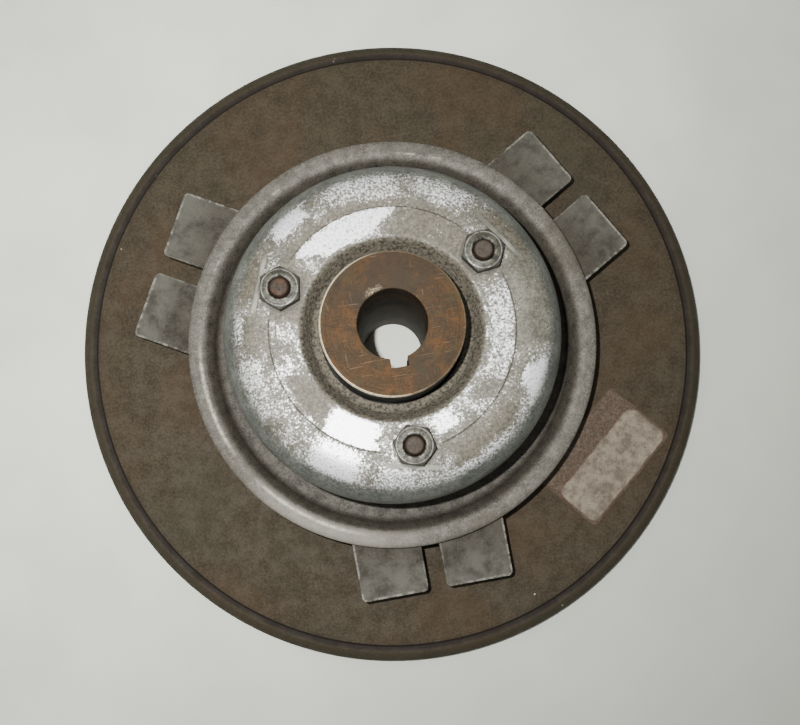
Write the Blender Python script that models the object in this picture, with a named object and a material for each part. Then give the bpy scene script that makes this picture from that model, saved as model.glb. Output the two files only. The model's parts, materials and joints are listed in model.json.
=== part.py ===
"""Electromagnetic clutch with a stationary field that rides on a bearing.

Metres, +Z up along the shaft axis. z = 0 is the back end of the hub and the foot of the output disc's
rim. The keyway and the first anti-rotation fork point along -Y.

Bodies: the field (cap, shell, coil, flange ring, forks) stands still; the hub and rotor turn with the
shaft; the output disc turns on the hub's back bearing; the armature slides along Z on leaf springs.
"""

import math

import bmesh
import bpy
from mathutils import Matrix, Vector

# Segments in a full turn
VISIBLE_STEPS = 40
HIDDEN_STEPS = 24
HUB_STEPS = 28
FASTENER_STEPS = 12
HOLE_STEPS = 10
BALL_STEPS = 6
CLIP_STEPS = 28
SMOOTH_ANGLE = math.radians(35)

# Clearance between pieces that touch on the real object
GAP = 0.0003
# A ball's clearance to its groove, and a seal's to the race that it turns against
RUNNING_GAP = 0.0008
# How far a cutter runs past the surfaces that it opens
OVERCUT = 0.001
# Directions of the forks, the studs and the rotor's screws
SPOKE_ANGLES = (math.radians(-90), math.radians(30), math.radians(150))

# Hub sleeve
BORE_RADIUS = 0.0127
KEYWAY_WIDTH = 0.00635
KEYWAY_FLOOR = 0.0158
HUB_LENGTH = 0.0804
HUB_RADIUS = 0.0265
HUB_CHAMFER = 0.0009
BACK_JOURNAL_RADIUS = 0.0247
HUB_FLANGE_RADIUS = 0.035
HUB_FLANGE_Z = (0.0316, 0.0360)
FIELD_SHOULDER_RADIUS = 0.0295
FIELD_JOURNAL_RADIUS = 0.0272
HUB_FRONT_STEP = 0.0010
SNAP_GROOVE_DEPTH = 0.0014
ROTOR_SCREW_HOLE_TOP = 0.0354

# Bearings: bore, outside and ball radii, and the height of each along the axis
OUTPUT_BEARING_BORE = 0.0250
OUTPUT_BEARING_OUTSIDE = 0.0360
OUTPUT_BALL_RADIUS = 0.0030
OUTPUT_BEARING_Z = (0.0032, 0.0152)
FIELD_BEARING_BORE = 0.0275
FIELD_BEARING_OUTSIDE = 0.0360
FIELD_BALL_RADIUS = 0.0022
FIELD_BEARING_Z = (0.0440, 0.0530)
OUTPUT_RACE_WALL = 0.0034
FIELD_RACE_WALL = 0.0026
# Half the mouth of a ball groove, and half a cage's width and height, for each length of ball radius
GROOVE_MOUTH_RATIO = 1.15
CAGE_WIDTH_RATIO = 0.30
CAGE_HEIGHT_RATIO = 0.85
BALL_COUNT = 8
SEAL_THICKNESS = 0.0008
SPACER_WALL = 0.0042
CLIP_THICKNESS = 0.0014
CLIP_WIDTH = 0.0040
CLIP_OPENING = math.radians(26)
# How far the field shell and the output disc turn inwards to hold their bearing
BEARING_SHOULDER_DEPTH = 0.0020

# Output disc
DISC_RADIUS = 0.1350
DISC_TOP = 0.0100
DISC_WEB_BOTTOM = 0.0032
DISC_FLAT_RADIUS = 0.1268
DISC_BOSS_RADIUS = 0.0600
DISC_BOSS_TOP = 0.0150
DISC_BOSS_BACK = 0.0006
DISC_BOSS_SLOPE = 0.0020
DISC_SHOULDER_THICKNESS = 0.0018
DISC_RECESS_WIDTH = 0.0023
RIM_ROUND = 0.0065
RIM_ROUND_Z = 0.0030
RIM_LINE_WIDTH = 0.0010
RIM_LINE_DROP = 0.0008
# The rim's foot, measured inwards from the outside: the outer edge, the inner edge and the slope's end
RIM_FOOT = (0.0006, 0.0040, 0.0050)
TAPPED_HOLE_RADIUS = 0.0032
TAPPED_HOLE_TOP = 0.0100
TAPPED_HOLE_COUNT = 6
TAPPED_CIRCLE = 0.0500
TAPPED_START = math.radians(35)
SPRING_SCREW_HOLE_Z = 0.0082
RIVET_POCKET_RADIUS = 0.0044
RIVET_POCKET_Z = 0.0127

# Armature and its leaf springs
ARMATURE_RADII = (0.0400, 0.0600)
ARMATURE_Z = (0.0167, 0.0222)
SPRING_Z = (0.0153, 0.0163)
SPRING_CIRCLE = 0.0500
SPRING_SPAN = math.radians(50)
SPRING_START = math.radians(10)
SPRING_HALF_WIDTH = 0.0046
SMALL_SHANK_RADIUS = 0.0020
SMALL_HOLE_RADIUS = 0.0023
SPRING_SCREW_TIP = 0.0085
SPRING_SCREW_HEAD = (0.0039, 0.0036)
SPRING_SCREW_HEAD_TOP = 0.0182
RIVET_HEAD = (0.0030, 0.0038)
RIVET_HEAD_HEIGHT = 0.0015
RIVET_TAIL_RADIUS = 0.0036
RIVET_TAIL_Z = (0.0205, 0.0218)
RIVET_COUNTERBORE_RADIUS = 0.0039
RIVET_COUNTERBORE_Z = 0.0202
ARMATURE_CLEARANCE_HOLE = 0.0048

# Rotor
ROTOR_RADIUS = 0.0610
ROTOR_Z = (0.0233, 0.0313)
LINING_RADII = (0.0487, 0.0543)
LINING_DEPTH = 0.0020
FLUX_SLOT_RADII = (0.0500, 0.0530)
FLUX_SLOT_COUNT = 6
FLUX_SLOT_ARC = math.radians(44)
ROTOR_SCREW_CIRCLE = 0.0310
ROTOR_SCREW_HEAD = 0.0036
ROTOR_SCREW_COUNTERSINK = 0.0018
ROTOR_SCREW_SINK = 0.0002
ROTOR_SCREW_SHANK = 0.0019
ROTOR_SCREW_TIP = 0.0348

# Field shell and coil
SHELL_RADIUS = 0.0615
SHELL_Z = (0.0323, 0.0610)
SHELL_WINDOW_RADII = (0.0482, 0.0575)
SHELL_WINDOW_TOP = 0.0510
SHELL_CORNER = 0.0035
SHELL_SHOULDER_Z = (0.0370, 0.0437)
FORMER_WALL = 0.0012
FORMER_SIDE_GAP = 0.0005
FORMER_END_GAPS = (0.0009, 0.0004)
# How far the winding stays inside the former's flanges
WINDING_INSET = 0.0006

# Flange ring round the shell, and the forks on it
RING_RADIUS = 0.0842
RING_TOP = 0.0302
RING_FLOOR = 0.0221
RING_BOTTOM = 0.0205
RING_WALL_OUTSIDE = 0.0765
RING_SLEEVE_TOP = 0.0400
RING_SHEET = 0.0016
# Where the wall starts to turn out into the lip, outside and inside
RING_WALL_TOPS = (0.0268, 0.0276)
# How far the floor's outer corner is cut off, across and up
RING_CORNER = (0.0012, 0.0014)
# How far the lip's underside and top start outside or inside the wall, and how far down the top starts
RING_LIP_START = 0.0014
RING_LIP_DIP = 0.0008
RING_LIP_NECK = 0.0012
# The lip's rounded edge, from its underside to its top: (from the ring's outside, from its top)
RING_LIP_EDGE = ((-0.0010, -0.0026), (0.0, -0.0020), (-0.0008, -0.0006), (-0.0026, 0.0), (-0.0056, 0.0))
RING_LIP_UNDERSIDE_WIDTH = 0.0020
# The channel's rounded corner: (from the wall's outside, from the floor)
RING_CHANNEL_CORNER = ((-0.0028, 0.0010), (-0.0040, 0.0))
FORK_TIP = 0.1030
FORK_HALF_WIDTH = 0.0318
FORK_SLOT_WIDTH = 0.0075
FORK_SLOT_ROOT = 0.0810
FORK_CORNER = 0.0022
FORK_Z = (0.0234, 0.0254)
FORK_FOOT_Z = (0.0221, 0.0264)
FORK_FOOT_THICKNESS = 0.0018

# End cap and its fasteners
CAP_RADIUS = 0.0653
CAP_SHEET = 0.0016
CAP_SHOULDER = 0.0150
CAP_TOP = 0.0676
CAP_STEP = 0.0006
CAP_STEP_RADIUS = 0.0460
CAP_STEP_RUN = 0.0003
CAP_PAD_REACH = 0.0500
CAP_PAD_HALF_WIDTH = 0.0105
# The pads' tops lie this much under the raised middle's
CAP_PAD_DROP = 0.00005
CAP_BOTTOM = 0.0270
CAP_HOLE_RADIUS = 0.0273
CAP_DISH_Z = 0.0602
# The dish's slope from its floor to the raised middle: (outwards from the hole, share of the rise)
CAP_DISH_SLOPE = ((0.0022, 0.0), (0.0038, 0.20), (0.0058, 0.80), (0.0076, 1.0))
CAP_DISH_UNDERSIDE = ((0.0030, 0.0), (0.0050, 0.10))
CAP_UNDERSIDE_START = 0.0084
STUD_CIRCLE = 0.0440
STUD_RADIUS = 0.00397
STUD_HOLE_RADIUS = 0.00427
STUD_Z = (0.0523, 0.0736)
NUT_ACROSS_FLATS = 0.0143
NUT_Z = (0.0679, 0.0723)
NUT_CHAMFER_ANGLE = math.radians(30)
# The chamfer's radius at the nut's end for each length of half the flats, and where it meets the corners
NUT_CHAMFER_RATIOS = (0.97, 1.02)
# How far each nut is turned from its own direction
NUT_TURNS = (math.radians(12), math.radians(-24), math.radians(-10))
STUD_CHAMFER = (0.0006, 0.0007)
SPACER_RADIUS = 0.0062

# Terminals and coil leads, on the +Y side
TERMINAL_Z = 0.0240
TERMINAL_PITCH = 0.0104
BLADE_WIDTH = 0.0063
BLADE_THICKNESS = 0.0008
BLADE_Y = (0.0746, 0.0848)
BLADE_TIP = (0.0010, 0.0012)
# Room round the blades where they pass the ring's wall: sideways, and above and below
BLADE_PASSAGE = (0.0004, 0.0006)
BLOCK_HALF_WIDTH = 0.0118
BLOCK_Y = (0.0769, 0.0818)
BLOCK_Z = (0.0198, 0.0274)
LEAD_RADIUS = 0.0009
LEAD_Z = 0.0450
# A lead's route from the cap's side down to its blade: (outwards from the cap, from the lead's own height)
LEAD_ROUTE = (
    (0.0, 0.0),
    (0.0036, -0.0010),
    (0.0052, -0.0050),
    (0.0054, -0.0120),
    (0.0056, -0.0180),
    (0.0070, -0.0204),
)
# Half length and half width of the grommet's body
GROMMET_HALF = (0.0086, 0.0030)
GROMMET_LIP = 0.0012
# Where the grommet and its lip start and stop, measured outwards from the cap's outside
GROMMET_SPAN = (-0.0024, 0.0020)
GROMMET_LIP_SPAN = (0.0006, 0.0019)
# The cap's slot for each length of the grommet's half length and half width
GROMMET_SLOT_RATIOS = (1.035, 1.10)

# Label on the disc
LABEL_SIZE = (0.0520, 0.0340)
LABEL_THICKNESS = 0.0003
LABEL_CIRCLE = 0.1017
LABEL_ANGLE = math.radians(-37.6)
LABEL_TURN = math.radians(39.8)
LABEL_CORNER = 0.0030

FINISHES = {
    "hub_steel": ((0.20, 0.12, 0.08), 0.55, 0.8),
    "bearing_steel": ((0.55, 0.55, 0.56), 0.25, 1.0),
    "spring_steel": ((0.33, 0.33, 0.36), 0.35, 1.0),
    "seal_rubber": ((0.03, 0.03, 0.03), 0.70, 0.0),
    "disc_iron": ((0.10, 0.08, 0.05), 0.70, 0.4),
    "armature_steel": ((0.35, 0.34, 0.33), 0.40, 1.0),
    "rotor_steel": ((0.38, 0.37, 0.36), 0.40, 1.0),
    "friction_lining": ((0.12, 0.10, 0.08), 0.90, 0.0),
    "field_iron": ((0.25, 0.24, 0.23), 0.50, 0.9),
    "former_nylon": ((0.55, 0.50, 0.38), 0.50, 0.0),
    "coil_copper": ((0.65, 0.28, 0.12), 0.35, 0.9),
    "ring_zinc": ((0.38, 0.37, 0.34), 0.45, 0.8),
    "cap_zinc": ((0.55, 0.55, 0.53), 0.35, 0.9),
    "nut_zinc": ((0.30, 0.29, 0.27), 0.45, 0.8),
    "stud_rust": ((0.30, 0.14, 0.06), 0.80, 0.3),
    "terminal_plastic": ((0.05, 0.05, 0.05), 0.50, 0.0),
    "terminal_brass": ((0.62, 0.48, 0.20), 0.35, 1.0),
    "lead_insulation": ((0.35, 0.03, 0.02), 0.50, 0.0),
    "label_paper": ((0.45, 0.38, 0.31), 0.85, 0.0),
}


def clear_scene():
    for obj in list(bpy.data.objects):
        bpy.data.objects.remove(obj, do_unlink=True)


def make_finishes():
    made = {}
    for name, (colour, roughness, metallic) in FINISHES.items():
        material = bpy.data.materials.new(name)
        material.use_nodes = True
        shader = material.node_tree.nodes["Principled BSDF"]
        shader.inputs["Base Color"].default_value = (*colour, 1.0)
        shader.inputs["Roughness"].default_value = roughness
        shader.inputs["Metallic"].default_value = metallic
        made[name] = material
    return made


def mesh_from(bm, name, finish):
    bmesh.ops.recalc_face_normals(bm, faces=bm.faces)
    mesh = bpy.data.meshes.new(name)
    bm.to_mesh(mesh)
    bm.free()
    mesh.materials.append(MATERIALS[finish])
    mesh.shade_smooth()
    mesh.set_sharp_from_angle(angle=SMOOTH_ANGLE)
    return mesh


def add_object(name, mesh, body, turn=0.0, location=(0, 0, 0)):
    """A node that belongs to a body. Its own origin is on the joint's axis unless it has a location."""
    obj = bpy.data.objects.new(name, mesh)
    bpy.context.scene.collection.objects.link(obj)
    obj.parent = BODIES[body]
    obj.location = location
    obj.rotation_euler = (0, 0, turn)
    return obj


def make_tool(name, bm):
    """A cutter or another helper shape, which isn't part of the object."""
    bmesh.ops.recalc_face_normals(bm, faces=bm.faces)
    mesh = bpy.data.meshes.new(name)
    bm.to_mesh(mesh)
    bm.free()
    tool = bpy.data.objects.new(name, mesh)
    bpy.context.scene.collection.objects.link(tool)
    tool.hide_render = True
    tool.display_type = "WIRE"
    return tool


def boolean(obj, bm, operation="DIFFERENCE"):
    tool = make_tool(f"{obj.name}.{operation.lower()}{len(obj.modifiers)}", bm)
    modifier = obj.modifiers.new(operation.title(), "BOOLEAN")
    modifier.operation = operation
    modifier.solver = "EXACT"
    modifier.object = tool


def resolved(obj):
    """One mesh with the object's modifiers applied, for copies to share. The object and its tools go."""
    bpy.context.view_layer.update()
    graph = bpy.context.evaluated_depsgraph_get()
    mesh = bpy.data.meshes.new_from_object(obj.evaluated_get(graph))
    for modifier in obj.modifiers:
        bpy.data.objects.remove(modifier.object, do_unlink=True)
    bpy.data.objects.remove(obj, do_unlink=True)
    mesh.shade_smooth()
    mesh.set_sharp_from_angle(angle=SMOOTH_ANGLE)
    return mesh


def arc(radius, start, stop, steps, centre=(0.0, 0.0)):
    """Points on an arc from start to stop, both ends included."""
    angles = [start + (stop - start) * i / steps for i in range(steps + 1)]
    return [(centre[0] + radius * math.cos(a), centre[1] + radius * math.sin(a)) for a in angles]


def polar(radius, angle):
    return Vector((radius * math.cos(angle), radius * math.sin(angle), 0.0))


def turned(profile, steps, bm=None):
    """The solid that a profile of (radius, z) makes when it turns about Z.

    The profile closes on itself, or starts and ends on the axis.
    """
    bm = bm or bmesh.new()
    ring = [bm.verts.new((radius, 0.0, z)) for radius, z in profile]
    edges = [bm.edges.new(pair) for pair in zip(ring, ring[1:])]
    if profile[0][0] > 0:
        edges.append(bm.edges.new((ring[-1], ring[0])))
    bmesh.ops.spin(
        bm, geom=ring + edges, axis=(0, 0, 1), cent=(0, 0, 0), angle=math.tau, steps=steps, use_merge=True
    )
    bmesh.ops.remove_doubles(bm, verts=bm.verts, dist=1e-7)
    return bm


def extruded(outline, low, high, bm=None):
    """An outline of (x, y) carried from low to high along Z."""
    bm = bm or bmesh.new()
    face = bm.faces.new([bm.verts.new((x, y, low)) for x, y in outline])
    top = bmesh.ops.extrude_face_region(bm, geom=[face])
    moved = [item for item in top["geom"] if isinstance(item, bmesh.types.BMVert)]
    bmesh.ops.translate(bm, verts=moved, vec=(0, 0, high - low))
    return bm


def add_cylinder(bm, place, radius, low, high, steps=HOLE_STEPS):
    middle = Matrix.Translation((place[0], place[1], (low + high) / 2))
    bmesh.ops.create_cone(
        bm, cap_ends=True, segments=steps, radius1=radius, radius2=radius, depth=high - low, matrix=middle
    )


def add_box(bm, low, high):
    size = [b - a for a, b in zip(low, high)]
    centre = [(a + b) / 2 for a, b in zip(low, high)]
    bmesh.ops.create_cube(bm, size=1.0, matrix=Matrix.Translation(centre) @ Matrix.Diagonal((*size, 1.0)))


def stadium(half_length, half_width, steps):
    """A slot outline along X with round ends."""
    right = arc(half_width, -math.pi / 2, math.pi / 2, steps, (half_length - half_width, 0))
    left = arc(half_width, math.pi / 2, 3 * math.pi / 2, steps, (half_width - half_length, 0))
    return right + left


def rounded_rectangle(half_x, half_y, corner, steps=3):
    outline = []
    for turn, sx, sy in ((0, 1, 1), (1, -1, 1), (2, -1, -1), (3, 1, -1)):
        centre = (sx * (half_x - corner), sy * (half_y - corner))
        outline += arc(corner, turn * math.pi / 2, (turn + 1) * math.pi / 2, steps, centre)
    return outline


def make_hub_sleeve():
    z_clip_low = OUTPUT_BEARING_Z[0] - GAP - CLIP_THICKNESS - GAP
    z_clip_high = OUTPUT_BEARING_Z[0] - GAP / 2
    front_low = FIELD_BEARING_Z[1] + GAP / 2
    front_high = FIELD_BEARING_Z[1] + GAP * 2 + CLIP_THICKNESS
    back_floor = BACK_JOURNAL_RADIUS - SNAP_GROOVE_DEPTH
    front_floor = FIELD_JOURNAL_RADIUS - SNAP_GROOVE_DEPTH
    profile = [
        (BORE_RADIUS + HUB_CHAMFER, HUB_LENGTH),
        (HUB_RADIUS - HUB_CHAMFER, HUB_LENGTH),
        (HUB_RADIUS, HUB_LENGTH - HUB_CHAMFER),
        (HUB_RADIUS, front_high + HUB_FRONT_STEP),
        (FIELD_JOURNAL_RADIUS, front_high + HUB_FRONT_STEP / 5),
        (front_floor, front_high),
        (front_floor, front_low),
        (FIELD_JOURNAL_RADIUS, front_low),
        (FIELD_JOURNAL_RADIUS, FIELD_BEARING_Z[0] - GAP),
        (FIELD_SHOULDER_RADIUS, FIELD_BEARING_Z[0] - GAP),
        (FIELD_SHOULDER_RADIUS, HUB_FLANGE_Z[1]),
        (HUB_FLANGE_RADIUS, HUB_FLANGE_Z[1]),
        (HUB_FLANGE_RADIUS, HUB_FLANGE_Z[0]),
        (BACK_JOURNAL_RADIUS, HUB_FLANGE_Z[0]),
        (BACK_JOURNAL_RADIUS, z_clip_high),
        (back_floor, z_clip_high),
        (back_floor, z_clip_low),
        (BACK_JOURNAL_RADIUS, z_clip_low),
        (BACK_JOURNAL_RADIUS, 0.0),
        (BORE_RADIUS + HUB_CHAMFER, 0.0),
        (BORE_RADIUS, HUB_CHAMFER),
        (BORE_RADIUS, HUB_LENGTH - HUB_CHAMFER),
    ]
    hub = add_object("hub_sleeve", mesh_from(turned(profile, HUB_STEPS), "hub_sleeve", "hub_steel"), "hub")
    cutter = bmesh.new()
    half = KEYWAY_WIDTH / 2
    add_box(cutter, (-half, -KEYWAY_FLOOR, -OVERCUT), (half, -BORE_RADIUS / 2, HUB_LENGTH + OVERCUT))
    for angle in SPOKE_ANGLES:
        low = HUB_FLANGE_Z[0] - OVERCUT
        add_cylinder(cutter, polar(ROTOR_SCREW_CIRCLE, angle), SMALL_HOLE_RADIUS, low, ROTOR_SCREW_HOLE_TOP)
    boolean(hub, cutter)


def make_race(name, body, inner, outer, groove_side, height, pitch, ball_radius):
    """A bearing race with its ball groove: side +1 opens outwards, -1 inwards."""
    low, high = height
    middle = (low + high) / 2
    wall, back = (outer, inner) if groove_side > 0 else (inner, outer)
    floor = pitch - groove_side * (ball_radius + RUNNING_GAP)
    half_mouth = ball_radius * GROOVE_MOUTH_RATIO
    profile = [
        (back, low),
        (wall, low),
        (wall, middle - half_mouth),
        (floor, middle),
        (wall, middle + half_mouth),
        (wall, high),
        (back, high),
    ]
    add_object(name, mesh_from(turned(profile, HIDDEN_STEPS), name, "bearing_steel"), body)


def make_ball_cage(name, body, pitch, ball_radius, middle):
    """The balls of a bearing and the cage that spaces them, which turn round together."""
    half_width = ball_radius * CAGE_WIDTH_RATIO
    half_height = ball_radius * CAGE_HEIGHT_RATIO
    profile = [
        (pitch - half_width, middle - half_height),
        (pitch + half_width, middle - half_height),
        (pitch + half_width, middle + half_height),
        (pitch - half_width, middle + half_height),
    ]
    cage = add_object(name, mesh_from(turned(profile, 3 * BALL_COUNT), name, "bearing_steel"), body)
    balls = bmesh.new()
    for i in range(BALL_COUNT):
        angle = math.tau * (i + 0.5) / BALL_COUNT
        place = polar(pitch, angle) + Vector((0, 0, middle))
        matrix = Matrix.Translation(place) @ Matrix.Rotation(angle, 4, "Z")
        bmesh.ops.create_uvsphere(
            balls, u_segments=BALL_STEPS, v_segments=4, radius=ball_radius, matrix=matrix
        )
    boolean(cage, balls, "UNION")


def make_clip(name, body, inner, outer, low):
    """A snap ring or a circlip: a flat ring that is open at one side."""
    start = CLIP_OPENING / 2
    stop = math.tau - start
    outline = arc(outer, start, stop, CLIP_STEPS) + arc(inner, stop, start, CLIP_STEPS)
    mesh = mesh_from(extruded(outline, low, low + CLIP_THICKNESS), name, "spring_steel")
    add_object(name, mesh, body)


def make_output_bearing():
    pitch = (OUTPUT_BEARING_BORE + OUTPUT_BEARING_OUTSIDE) / 2
    low, high = OUTPUT_BEARING_Z
    inner_wall = OUTPUT_BEARING_BORE + OUTPUT_RACE_WALL
    outer_wall = OUTPUT_BEARING_OUTSIDE - OUTPUT_RACE_WALL
    make_race(
        "output_bearing_inner_race", "hub", OUTPUT_BEARING_BORE, inner_wall, 1, (low, high), pitch,
        OUTPUT_BALL_RADIUS,
    )
    make_race(
        "output_bearing_outer_race", "output", outer_wall, OUTPUT_BEARING_OUTSIDE, -1, (low, high), pitch,
        OUTPUT_BALL_RADIUS,
    )
    make_ball_cage("output_bearing_ball_cage", "output_cage", pitch, OUTPUT_BALL_RADIUS, (low + high) / 2)
    clip_low = low - GAP - CLIP_THICKNESS
    snap_inner = BACK_JOURNAL_RADIUS - SNAP_GROOVE_DEPTH + GAP
    make_clip("output_bearing_snap_ring", "hub", snap_inner, snap_inner + CLIP_WIDTH, clip_low)
    circlip_outer = OUTPUT_BEARING_OUTSIDE + SNAP_GROOVE_DEPTH
    make_clip("output_bearing_circlip", "output", circlip_outer - CLIP_WIDTH, circlip_outer, clip_low)
    seal_low = low + GAP
    seal_high = seal_low + SEAL_THICKNESS
    seal = [
        (inner_wall + RUNNING_GAP, seal_low),
        (outer_wall - GAP, seal_low),
        (outer_wall - GAP, seal_high),
        (inner_wall + RUNNING_GAP, seal_high),
    ]
    mesh = mesh_from(turned(seal, HIDDEN_STEPS), "output_bearing_seal", "seal_rubber")
    add_object("output_bearing_seal", mesh, "output")


def make_field_bearing():
    pitch = (FIELD_BEARING_BORE + FIELD_BEARING_OUTSIDE) / 2
    wall = FIELD_RACE_WALL
    low, high = FIELD_BEARING_Z
    make_race(
        "field_bearing_inner_race", "hub", FIELD_BEARING_BORE, FIELD_BEARING_BORE + wall, 1, (low, high),
        pitch, FIELD_BALL_RADIUS,
    )
    make_race(
        "field_bearing_outer_race", "field", FIELD_BEARING_OUTSIDE - wall, FIELD_BEARING_OUTSIDE, -1,
        (low, high), pitch, FIELD_BALL_RADIUS,
    )
    make_ball_cage("field_bearing_ball_cage", "field_cage", pitch, FIELD_BALL_RADIUS, (low + high) / 2)
    clip_low = high + GAP
    snap_inner = FIELD_JOURNAL_RADIUS - SNAP_GROOVE_DEPTH + GAP
    make_clip("field_bearing_snap_ring", "hub", snap_inner, snap_inner + CLIP_WIDTH, clip_low)
    circlip_outer = FIELD_BEARING_OUTSIDE + SNAP_GROOVE_DEPTH
    make_clip("field_bearing_circlip", "field", circlip_outer - CLIP_WIDTH, circlip_outer, clip_low)


def make_bearing_spacer():
    low = OUTPUT_BEARING_Z[1] + GAP
    high = ROTOR_Z[0] - GAP
    profile = [
        (BACK_JOURNAL_RADIUS + GAP, low),
        (BACK_JOURNAL_RADIUS + SPACER_WALL, low),
        (BACK_JOURNAL_RADIUS + SPACER_WALL, high),
        (BACK_JOURNAL_RADIUS + GAP, high),
    ]
    mesh = mesh_from(turned(profile, HIDDEN_STEPS), "bearing_spacer", "rotor_steel")
    add_object("bearing_spacer", mesh, "hub")


def spring_angles():
    """The angle of each leaf spring's screw on the disc."""
    return [SPRING_START + math.tau * i / 3 for i in range(3)]


def make_output_disc():
    bore = OUTPUT_BEARING_OUTSIDE + GAP
    groove = bore + SNAP_GROOVE_DEPTH
    clip_low = OUTPUT_BEARING_Z[0] - GAP - CLIP_THICKNESS - GAP
    clip_high = OUTPUT_BEARING_Z[0] - GAP / 2
    shoulder = OUTPUT_BEARING_Z[1] + GAP
    rim_turn = arc(RIM_ROUND, math.radians(75), 0, 3, (DISC_RADIUS - RIM_ROUND, RIM_ROUND_Z))
    foot_outside, foot_inside, slope_end = RIM_FOOT
    shoulder_top = shoulder + DISC_SHOULDER_THICKNESS
    profile = [
        (bore, DISC_BOSS_BACK),
        (DISC_BOSS_RADIUS, DISC_BOSS_BACK),
        (DISC_BOSS_RADIUS + DISC_BOSS_SLOPE, DISC_WEB_BOTTOM),
        (DISC_RADIUS - slope_end, DISC_WEB_BOTTOM),
        (DISC_RADIUS - foot_inside, 0.0),
        (DISC_RADIUS - foot_outside, 0.0),
        *reversed(rim_turn),
        (DISC_FLAT_RADIUS + RIM_LINE_WIDTH, DISC_TOP - RIM_LINE_DROP),
        (DISC_FLAT_RADIUS, DISC_TOP),
        (DISC_BOSS_RADIUS, DISC_TOP),
        (DISC_BOSS_RADIUS, DISC_BOSS_TOP),
        (bore + DISC_RECESS_WIDTH, DISC_BOSS_TOP),
        (bore + DISC_RECESS_WIDTH, shoulder_top),
        (bore - BEARING_SHOULDER_DEPTH, shoulder_top),
        (bore - BEARING_SHOULDER_DEPTH, shoulder),
        (bore, shoulder),
        (bore, clip_high),
        (groove, clip_high),
        (groove, clip_low),
        (bore, clip_low),
    ]
    mesh = mesh_from(turned(profile, VISIBLE_STEPS), "output_disc", "disc_iron")
    disc = add_object("output_disc", mesh, "output")
    cutter = bmesh.new()
    for i in range(TAPPED_HOLE_COUNT):
        angle = TAPPED_START + math.tau * i / TAPPED_HOLE_COUNT
        place = polar(TAPPED_CIRCLE, angle)
        add_cylinder(cutter, place, TAPPED_HOLE_RADIUS, DISC_BOSS_BACK - OVERCUT, TAPPED_HOLE_TOP)
    for angle in spring_angles():
        screw = polar(SPRING_CIRCLE, angle)
        rivet = polar(SPRING_CIRCLE, angle + SPRING_SPAN)
        add_cylinder(cutter, screw, SMALL_HOLE_RADIUS, SPRING_SCREW_HOLE_Z, DISC_BOSS_TOP + OVERCUT)
        add_cylinder(cutter, rivet, RIVET_POCKET_RADIUS, RIVET_POCKET_Z, DISC_BOSS_TOP + OVERCUT)
    boolean(disc, cutter)


def make_leaf_springs():
    """Three straps that carry the armature on the disc and pull it back from the rotor."""
    half = SPRING_CIRCLE * math.sin(SPRING_SPAN / 2)
    outline = stadium(half + SPRING_HALF_WIDTH, SPRING_HALF_WIDTH, 6)
    strap = add_object("strap", mesh_from(extruded(outline, *SPRING_Z), "strap", "spring_steel"), "output")
    cutter = bmesh.new()
    for side in (-1, 1):
        low, high = SPRING_Z
        add_cylinder(cutter, (side * half, 0), SMALL_HOLE_RADIUS, low - OVERCUT, high + OVERCUT)
    boolean(strap, cutter)
    mesh = resolved(strap)
    screw_profile = [
        (0, SPRING_SCREW_TIP),
        (SMALL_SHANK_RADIUS, SPRING_SCREW_TIP),
        (SMALL_SHANK_RADIUS, SPRING_Z[1] + GAP),
        (SPRING_SCREW_HEAD[0], SPRING_Z[1] + GAP),
        (SPRING_SCREW_HEAD[1], SPRING_SCREW_HEAD_TOP),
        (0, SPRING_SCREW_HEAD_TOP),
    ]
    screw_mesh = mesh_from(turned(screw_profile, FASTENER_STEPS), "spring_screw", "spring_steel")
    head_top = SPRING_Z[0] - GAP
    head_bottom = head_top - RIVET_HEAD_HEIGHT
    tail_bottom, tail_top = RIVET_TAIL_Z
    rivet_profile = [
        (0, head_bottom),
        (RIVET_HEAD[0], head_bottom),
        (RIVET_HEAD[1], head_top),
        (SMALL_SHANK_RADIUS, head_top),
        (SMALL_SHANK_RADIUS, tail_bottom),
        (RIVET_TAIL_RADIUS, tail_bottom),
        (RIVET_TAIL_RADIUS, tail_top),
        (0, tail_top),
    ]
    rivet_mesh = mesh_from(turned(rivet_profile, FASTENER_STEPS), "armature_rivet", "spring_steel")
    for i, angle in enumerate(spring_angles(), 1):
        middle_angle = angle + SPRING_SPAN / 2
        middle = polar(SPRING_CIRCLE * math.cos(SPRING_SPAN / 2), middle_angle)
        add_object(f"leaf_spring_{i}", mesh, "output", middle_angle + math.pi / 2, middle)
        add_object(f"spring_screw_{i}", screw_mesh, "output", location=polar(SPRING_CIRCLE, angle))
        rivet = polar(SPRING_CIRCLE, angle + SPRING_SPAN)
        add_object(f"armature_rivet_{i}", rivet_mesh, "armature", location=rivet)


def make_armature_plate():
    (inner, outer), (low, high) = ARMATURE_RADII, ARMATURE_Z
    profile = [(inner, low), (outer, low), (outer, high), (inner, high)]
    mesh = mesh_from(turned(profile, HIDDEN_STEPS), "armature_plate", "armature_steel")
    plate = add_object("armature_plate", mesh, "armature")
    cutter = bmesh.new()
    for angle in spring_angles():
        screw = polar(SPRING_CIRCLE, angle)
        add_cylinder(cutter, screw, ARMATURE_CLEARANCE_HOLE, low - OVERCUT, high + OVERCUT)
        rivet = polar(SPRING_CIRCLE, angle + SPRING_SPAN)
        add_cylinder(cutter, rivet, SMALL_HOLE_RADIUS, low - OVERCUT, RIVET_COUNTERBORE_Z + OVERCUT)
    boolean(plate, cutter)
    counterbores = bmesh.new()
    for angle in spring_angles():
        rivet = polar(SPRING_CIRCLE, angle + SPRING_SPAN)
        add_cylinder(counterbores, rivet, RIVET_COUNTERBORE_RADIUS, RIVET_COUNTERBORE_Z, high + OVERCUT)
    boolean(plate, counterbores)


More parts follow.
